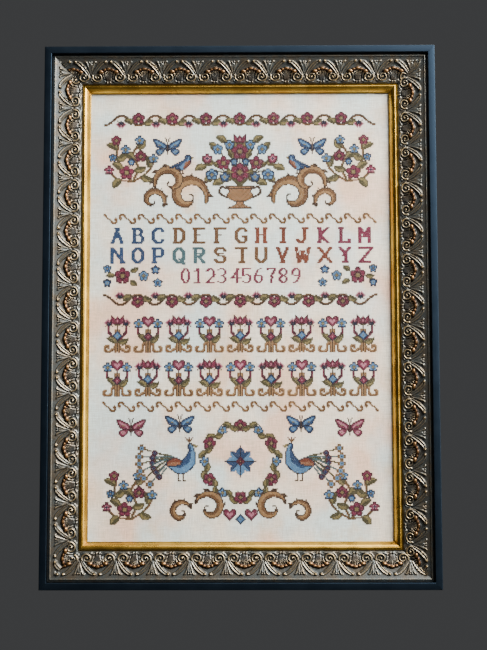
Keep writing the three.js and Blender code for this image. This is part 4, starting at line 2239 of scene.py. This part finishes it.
class Lamp(NamedTuple):
    """A soft square light: its place from the frame's middle and its width in metres, its power in
    watts, its sRGB colour and how far it fans out, in degrees."""

    name: str
    place: Triple
    width: float
    power: float
    colour: int
    spread: float = 180.0


@dataclass
class Studio:
    """The floor, the lights and the camera."""

    size: FrameSize
    image_height: int = 650
    pixel: float = 1.192
    sensor: float = 36.0
    aim: tuple[float, float] = (4.0, -13.2)
    distance: float = 1.45
    azimuth: float = 0.49
    elevation: float = -4.84
    roll: float = -0.12
    half_depth: float = 0.015
    floor_drop: float = 1.8
    floor_reach: float = 9.0
    sky: Colour = linear(0xC6C8CB)
    sky_strength: float = 0.09

    LAMPS = (
        Lamp("key", (1.5, -1.15, 1.35), 1.1, 49, 0xFFF9F0, 70),
        Lamp("window", (1.2, -2.4, 1.5), 1.0, 40, 0xF2F6FF),
        Lamp("over", (0.3, -0.5, 1.7), 0.9, 24, 0xFFFAF0),
        Lamp("beside", (1.7, -0.5, 0.1), 0.9, 28, 0xFFFAF0),
        Lamp("behind", (0.9, 1.5, 1.2), 1.2, 14, 0xFFFFFF),
    )

    def middle(self) -> Vector:
        """The frame's middle, halfway through its depth."""
        return Vector((0, -self.half_depth, self.size.centre * MM))

    def place_camera(self) -> None:
        """Aims the camera so that the frame lies where the picture has it."""
        data = bpy.data.cameras.new("camera")
        data.sensor_width = self.sensor
        data.lens = self.sensor * self.distance / (self.image_height * self.pixel * MM)
        camera = bpy.data.objects.new("camera", data)
        bpy.context.scene.collection.objects.link(camera)
        target = self.middle() + Vector((self.aim[0], 0, self.aim[1])) * MM
        swing, rise = math.radians(self.azimuth), math.radians(self.elevation)
        back = Vector((math.sin(swing) * math.cos(rise), -math.cos(swing) * math.cos(rise), math.sin(rise)))
        camera.location = target + back * self.distance
        turn = (-back).to_track_quat("-Z", "Y").to_matrix().to_4x4()
        roll = Matrix.Rotation(math.radians(self.roll), 4, "Z")
        camera.matrix_world = Matrix.Translation(camera.location) @ turn @ roll
        bpy.context.scene.camera = camera

    def light(self, lamp: Lamp) -> None:
        """Adds a soft square light that looks at the frame.

        Args:
            lamp: The light's sizes and colour.
        """
        data = bpy.data.lights.new(lamp.name, "AREA")
        data.size = lamp.width
        data.spread = math.radians(lamp.spread)
        data.energy = lamp.power
        data.color = linear(lamp.colour)[:3]
        made = bpy.data.objects.new(lamp.name, data)
        bpy.context.scene.collection.objects.link(made)
        made.location = self.middle() + Vector(lamp.place)
        made.rotation_euler = (self.middle() - made.location).to_track_quat("-Z", "Y").to_euler()

    def lay_floor(self) -> None:
        """Lays the floor below the frame."""
        reach = self.floor_reach
        level = (self.size.centre - self.size.height / 2) * MM - self.floor_drop
        corners = [(x * reach, y * reach, level) for x, y in ((-1, -1), (1, -1), (1, 1), (-1, 1))]
        mesh = bpy.data.meshes.new("floor")
        mesh.from_pydata(corners, [], [(0, 1, 2, 3)])
        mesh.materials.append(PaleFloor().material())
        floor = bpy.data.objects.new("floor", mesh)
        bpy.context.scene.collection.objects.link(floor)

    def build(self) -> None:
        """Sets the whole studio up."""
        self.place_camera()
        self.lay_floor()
        for lamp in self.LAMPS:
            self.light(lamp)
        world = bpy.data.worlds.new("studio")
        world.use_nodes = True
        background = world.node_tree.nodes["Background"]
        background.inputs["Color"].default_value = self.sky
        background.inputs["Strength"].default_value = self.sky_strength
        bpy.context.scene.world = world


def main() -> None:
    """Builds the sampler from the outside in, and then the studio."""
    logging.basicConfig(level=logging.INFO, format="%(message)s")
    size = FrameSize.from_box(*CAD_BOX)
    CapRails(size).build()
    CarvedRails(size).build()
    GiltFillet(size).build()
    Backing().build()
    cloth = LinenCloth(size, *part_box("linen"))
    sheet = cloth.build()
    stitches = CrossStitching(cloth, SamplerDesign().work()).build()
    Studio(size).build()


if __name__ == "__main__":
    main()
